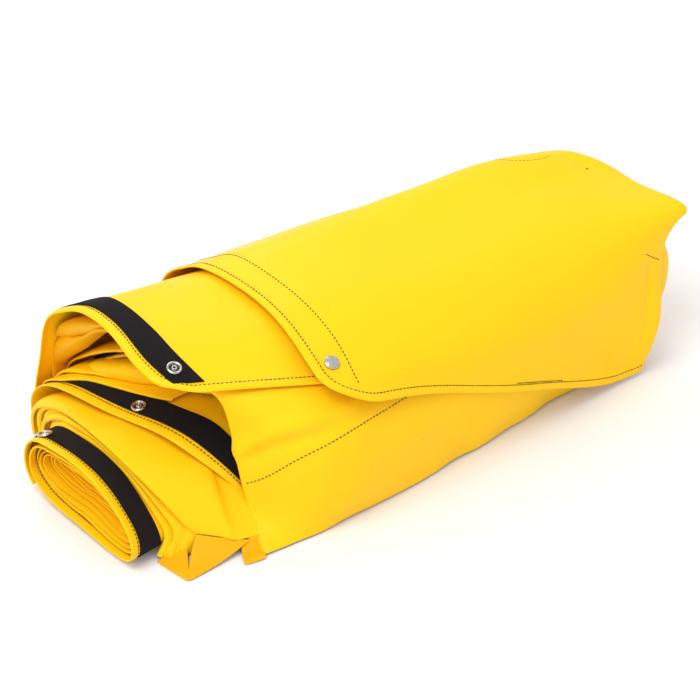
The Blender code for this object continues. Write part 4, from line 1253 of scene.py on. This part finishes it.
def ply(name, rows, r, seed, node_free=True, wave=1.0, over=2.6):
    q = Cloth(rows, curl_left=r, relief=lambda a, d: wave * (0.7 * noise2(a / 24.0 + seed, d / 30.0, 111 + seed)
                                                             + 0.3 * noise2(a / 11.0, d / 13.0, 131 + seed)))
    sa = edged(-over * r, q.A, 3.2, (0, 0.6, 1.4, 2.4, 3.6, 4.8, 6.0), EDGE) if r > 0 else edged(0.0, q.A, 3.2, EDGE, EDGE)
    # Plies with seed above 2 (mouth plies 4 to 7) take the darker fabric copy: painted shade deep in the mouth.
    ob = cloth_piece(name, q, sa, edged(0.0, q.D, 4.0, EDGE, EDGE), SHADED_FABRIC_COPY if seed > 2 else None, seed=115 + seed, fit_back=0.0,
                     shift=(lambda d: 1.2 * wave * noise1(d / 40.0, 118 + seed)))
    finish_piece(ob, ROOT, "coated_fabric")
    declare(ob, "folded", ["middle_wrap_sheet"])
    return q, ob


def far_row(x, y0, y1, z, n):
    """A plain row deep in the bundle, where a ply runs out of sight."""
    return [(x, y1 + (y0 - y1) * t, z - 14.0 * (1 - t) ** 3) for t in np.linspace(0, 1, n)]


# a ply that lies flat on the middle wrap and covers part of its tape at the rear
D1 = np.array([318.0, 290.0, 262.0, 250.0, 232.0, 212.0, 193.0, 175.0, 160.0, 148.0, 138.0])
A1 = np.array([8.0, 8.0, 9.0, 15.0, 21.0, 24.5, 27.5, 30.0, 33.0, 36.0, 40.0])
N1 = np.array([5.0, 4.8, 4.6, 4.6, 4.6, 4.6, 4.6, 4.6, 4.6, 4.6, 4.4])
ply("mouth_ply_1", [on_cloth(M, A1, D1, N1), on_cloth(M, A1 + 14, D1, N1 + 0.6), on_cloth(M, A1 + 40, D1 - 4, N1 + 1.0),
                    on_cloth(M, A1 + 80, D1 - 8, N1 + 1.0)], 1.2, 0, wave=0.5)

# a thick soft fold over it
D2 = np.array([300.0, 275.0, 256.0, 236.0, 216.0, 198.0, 175.0, 154.0, 132.0, 115.0, 100.0])
A2 = np.array([36.0, 35.0, 33.0, 31.0, 31.0, 33.0, 40.0, 49.0, 56.5, 66.0, 78.0])
H2 = np.array([9.0, 9.0, 10.0, 13.0, 17.0, 20.5, 22.5, 22.0, 19.0, 15.0, 12.0])
ply("mouth_ply_2", [on_cloth(M, A2 + 5, D2, 5.4 + 0 * H2), on_cloth(M, A2 - 0.5, D2, 4.2 + 0.22 * H2),
                    on_cloth(M, A2 - 0.5, D2, 0.60 * H2 + 2.0), on_cloth(M, A2 + 4.5, D2, 0.90 * H2 + 1.5),
                    on_cloth(M, A2 + 16, D2 - 2, H2 + 3.0), on_cloth(M, A2 + 44, D2 - 5, H2 + 5.0),
                    on_cloth(M, A2 + 80, D2 - 9, H2 + 6.0)], 0.0, 1, wave=0.9)

# a low fold between the two
D3 = np.array([300.0, 276.0, 256.0, 238.0, 222.0, 206.0, 192.0, 178.0])
A3 = np.array([22.0, 22.0, 23.0, 25.5, 29.0, 33.0, 40.0, 50.0])
ply("mouth_ply_3", [on_cloth(M, A3, D3, 9.6 + 0 * D3), on_cloth(M, A3 + 10, D3, 10.6 + 0 * D3),
                    on_cloth(M, A3 + 34, D3 - 3, 12.5 + 0 * D3)], 1.6, 2, wave=0.7)

# a ply edged with black tape, and the tongue over it
SEC4 = [(192, 34), (186, 52), (170, 72), (155, 84), (141, 95), (122, 109), (104, 121), (80, 134), (56, 144)]
rows = [[(-195 + 0.03 * (y - 100), y, z) for y, z in SEC4], [(-183, y - 2, z + 4) for y, z in SEC4],
        [(-160, y - 5, z + 8 - 0.03 * (y - 60)) for y, z in SEC4], far_row(-118, 30, 160, 130, 9)]
q4, ob = ply("mouth_ply_4", rows, 1.3, 3, wave=0.6)
ob = band("mouth_ply_loop_band", q4, 0.6, 24.0, 16.0, None, 1.25, d1=q4.D - 34.0, seed=19)
finish_piece(ob, ROOT, "hook_loop_tape")
SEC5 = [(194, 44), (190, 62), (178, 79), (159, 94), (146, 104), (130, 115), (113, 126), (96, 136), (74, 149), (52, 158)]
rows = [[(-205 + 0.05 * (y - 130), y, z) for y, z in SEC5], [(-194, y - 1, z + 3.5) for y, z in SEC5],
        [(-166, y - 4, z + 7 - 0.03 * (y - 60)) for y, z in SEC5], far_row(-120, 34, 158, 140, 10)]
ply("mouth_ply_5", rows, 1.3, 4, wave=1.2)

# the wide fold that drapes down at the rear, and the doubled fold on top of it
LOW6 = [(-208, 195, 40), (-208, 193, 70), (-207, 174, 90), (-206, 156, 107), (-206, 138, 124), (-206, 117, 144), (-205, 92, 158)]
TOP6 = [(-213, 197, 52), (-213, 187, 102), (-212, 171, 114), (-211, 157, 122), (-210, 142, 131), (-209, 117, 151), (-208, 92, 163)]
mid6 = [(-214.5, 0.45 * a[1] + 0.55 * b[1] + 1.5, 0.45 * a[2] + 0.55 * b[2] + 2) for a, b in zip(LOW6, TOP6)]
ply("mouth_ply_6", [[(x + 7, y - 2, z - 1) for x, y, z in LOW6], LOW6, mid6, TOP6, [(x + 14, y - 1, z + 2.0) for x, y, z in TOP6],
                    [(x + 42, y - 5, z + 3.0) for x, y, z in TOP6], far_row(-128, 60, 152, 150, 7)], 0.0, 5, wave=1.3)
LOW7 = [(-212, 186, 108), (-212, 166, 117.5), (-211, 151, 126), (-210, 136, 134), (-209, 111, 154), (-208, 92, 164)]
TOP7 = [(-213, 173, 131), (-212, 161, 138.5), (-211, 149, 145), (-211, 137, 150.5), (-210, 118, 159), (-209, 96, 166.5)]
mid7 = [(-216, 0.5 * (a[1] + b[1]) + 1.0, 0.5 * (a[2] + b[2]) + 1.0) for a, b in zip(LOW7, TOP7)]
ply("mouth_ply_7", [[(x + 8, y - 1, z + 1) for x, y, z in LOW7], LOW7, mid7, TOP7, [(x + 12, y - 3, z + 0.6) for x, y, z in TOP7],
                    [(x + 44, y - 8, z + 1.0) for x, y, z in TOP7], far_row(-130, 66, 146, 156, 6)], 0.0, 6, wave=1.1)

# ------------------------------------------------------- folded ends, right side
for k, (x1, z0, z1, y0, y1, node) in enumerate([
        (300, 9, 67, -88, 92, "end_fold_1"), (324, 75, 126, -106, 78, "end_fold_2"), (318, 129, 147, -86, 36, "end_fold_3")]):
    for j in range(3 if k < 2 else 2):
        s = 1.0 - 0.24 * j
        zm, hz = 0.5 * (z0 + z1), 0.5 * (z1 - z0) * s
        xn = x1 - 9.0 * j
        rows = []
        for t in np.linspace(0, 1, 7):
            y = y1 + (y0 - y1) * t
            dz = 2.0 * math.sin(3.0 * t + k + j)
            dx = (-3.0 if k == 1 and j == 0 else -10.0) * (2 * t - 1) ** 2 + 2.5 * math.sin(5.0 * t + 2 * j)
            hz2 = hz * (1.0 - 0.16 * (2 * t - 1) ** 4)
            rows.append([(254, y, zm - hz2 * 0.96), (0.5 * (254 + xn), y, zm - hz2), (xn - 14 + dx, y, zm - hz2 * 0.78 + dz),
                         (xn - 2 + dx, y, zm - hz2 * 0.3 + dz), (xn - 1 + dx, y, zm + hz2 * 0.3 + dz),
                         (xn - 12 + dx, y, zm + hz2 * 0.8 + dz), (0.5 * (254 + xn), y, zm + hz2), (254, y, zm + hz2 * 0.96)])
        q = Cloth(rows, relief=lambda a, d, k=k: 0.8 * noise2(a / 26.0, d / 30.0, 101 + k))
        ob = cloth_piece("end_ply_%d_%d" % (k + 1, j + 1), q, edged(0, q.A, 4.5, EDGE, EDGE),
                         edged(0, q.D, 4.5, EDGE, EDGE), seed=16, fit_back=0.0)
        finish_piece(ob, ROOT, "coated_fabric", *((node,) if j == 0 else ()))
        declare(ob, "folded", ["front_wrap_sheet"])

# front of the middle end fold, which shows past the outer flap's right edge
q = Cloth([[(298, -108, 131), (298, -111, 119), (298, -112, 102), (298, -111, 79), (298, -108, 56)],
           [(310, -112, 131), (312, -115, 119), (314, -116, 102), (314, -115, 79), (312, -112, 56)],
           [(322, -110, 131), (326, -113, 119), (329, -114, 102), (329, -113, 79), (326, -110, 56)]], curl_right=3.0)
ob = cloth_piece("end_ply_2_front", q, edged(0, q.A + 3.6, 3.0, EDGE, EDGE), edged(0, q.D, 3.0, EDGE, EDGE), seed=21,
                 fit_back=0.0)
finish_piece(ob, ROOT, "coated_fabric")
declare(ob, "folded", ["front_wrap_sheet"])

# ------------------------------------------------------------------- base sheet
rows = []
for x in (-190.0, -120.0, -30.0, 70.0, 170.0, 280.0):
    rear = 168.0 - 0.17 * (x + 190.0)
    rows.append([(x, rear, 0.65), (x, rear * 0.5, 0.6), (x, 0.0, 0.6), (x, -60.0, 0.6), (x, -92.0, 0.65)])
q = Cloth(rows)
ob = cloth_piece("base_sheet", q, edged(0, q.A, 12.0, EDGE, EDGE), edged(0, q.D, 12.0, EDGE, EDGE), seed=17,
                 fit_back=0.0)
finish_piece(ob, ROOT, "coated_fabric", "base_ply")
declare(ob, "laid")

# ---------------------------------------------------------------- sheet measures, worked out and not kept
for ob, held, rests, extra in SHEETS:
    me = ob.data
    one_side = area_mm(ob) / 2.0
    co = np.zeros(len(me.vertices) * 3)
    me.vertices.foreach_get("co", co)
    uvl = me.uv_layers["cloth"]
    uv = np.zeros(len(me.loops) * 2)
    uvl.data.foreach_get("uv", uv)
    uv = uv.reshape(-1, 2)
    w = float(uv[:, 0].max() - uv[:, 0].min())
    # the polygons' corners in the cloth's own coordinates are gathered; no flat area is worked out from them
    ls = np.zeros(len(me.polygons), int); me.polygons.foreach_get("loop_start", ls)
    lt = np.zeros(len(me.polygons), int); me.polygons.foreach_get("loop_total", lt)
    for n in (3, 4):
        k = ls[lt == n]
        if len(k):
            q = np.stack([uv[k + i] for i in range(n)], 1); t = np.roll(q, -1, 1)

# ----------------------------------------------------------------------- stage
fm = bpy.data.materials.new("studio_floor")
nt, p = nodes_of(fm)
p.inputs["Base Color"].default_value = (0.885, 0.885, 0.90, 1.0)
p.inputs["Roughness"].default_value = 0.8
p.inputs["Specular IOR Level"].default_value = 0.1
me = bpy.data.meshes.new("studio_floor")
me.from_pydata([(-9, -9, 0), (9, -9, 0), (9, 9, 0), (-9, 9, 0)], [], [(0, 1, 2, 3)])
floor = bpy.data.objects.new("studio_floor", me)
bpy.context.scene.collection.objects.link(floor)
floor.data.materials.append(fm)

world = bpy.data.worlds.new("studio")
bpy.context.scene.world = world
world.use_nodes = True
bg = world.node_tree.nodes["Background"]
bg.inputs[0].default_value = (1.0, 1.0, 1.0, 1.0)
bg.inputs[1].default_value = 0.89


def soft_light(name, loc, target, size, power, colour=(1, 1, 1)):
    ld = bpy.data.lights.new(name, "AREA")
    ld.shape = "SQUARE"
    ld.size = size
    ld.energy = power
    ld.color = colour
    o = bpy.data.objects.new(name, ld)
    bpy.context.scene.collection.objects.link(o)
    o.location = loc
    o.rotation_euler = (Vector(target) - Vector(loc)).to_track_quat("-Z", "Y").to_euler()
    return o


soft_light("key_softbox", (-1.1, -0.2, 2.3), (0, 0, 0.1), 1.3, 24.0)
soft_light("rear_softbox", (0.6, 1.9, 1.7), (0, 0, 0.1), 1.4, 15.0)
soft_light("front_fill", (-0.6, -2.4, 1.0), (0, 0, 0.1), 1.6, 0.8)
soft_light("left_fill", (-2.2, -1.0, 1.3), (-0.2, 0, 0.05), 1.4, 7.0)

view = bpy.context.scene.view_settings
view.view_transform = "Standard"
view.look = "None"
view.exposure = 0.0
view.gamma = 1.0

EL, AZ, DIST = math.radians(35.0), math.radians(-41.5), 2.33
target = Vector((-CX / 1000.0, -CY / 1000.0, 0.09))
back = Vector((math.sin(AZ) * math.cos(EL), -math.cos(AZ) * math.cos(EL), math.sin(EL)))
cd = bpy.data.cameras.new("camera")
cd.lens = 123.43
cd.sensor_width = 36.0
cam = bpy.data.objects.new("camera", cd)
bpy.context.scene.collection.objects.link(cam)
cam.location = target + back * DIST
cam.rotation_euler = (-back).to_track_quat("-Z", "Y").to_euler()
bpy.context.scene.camera = cam
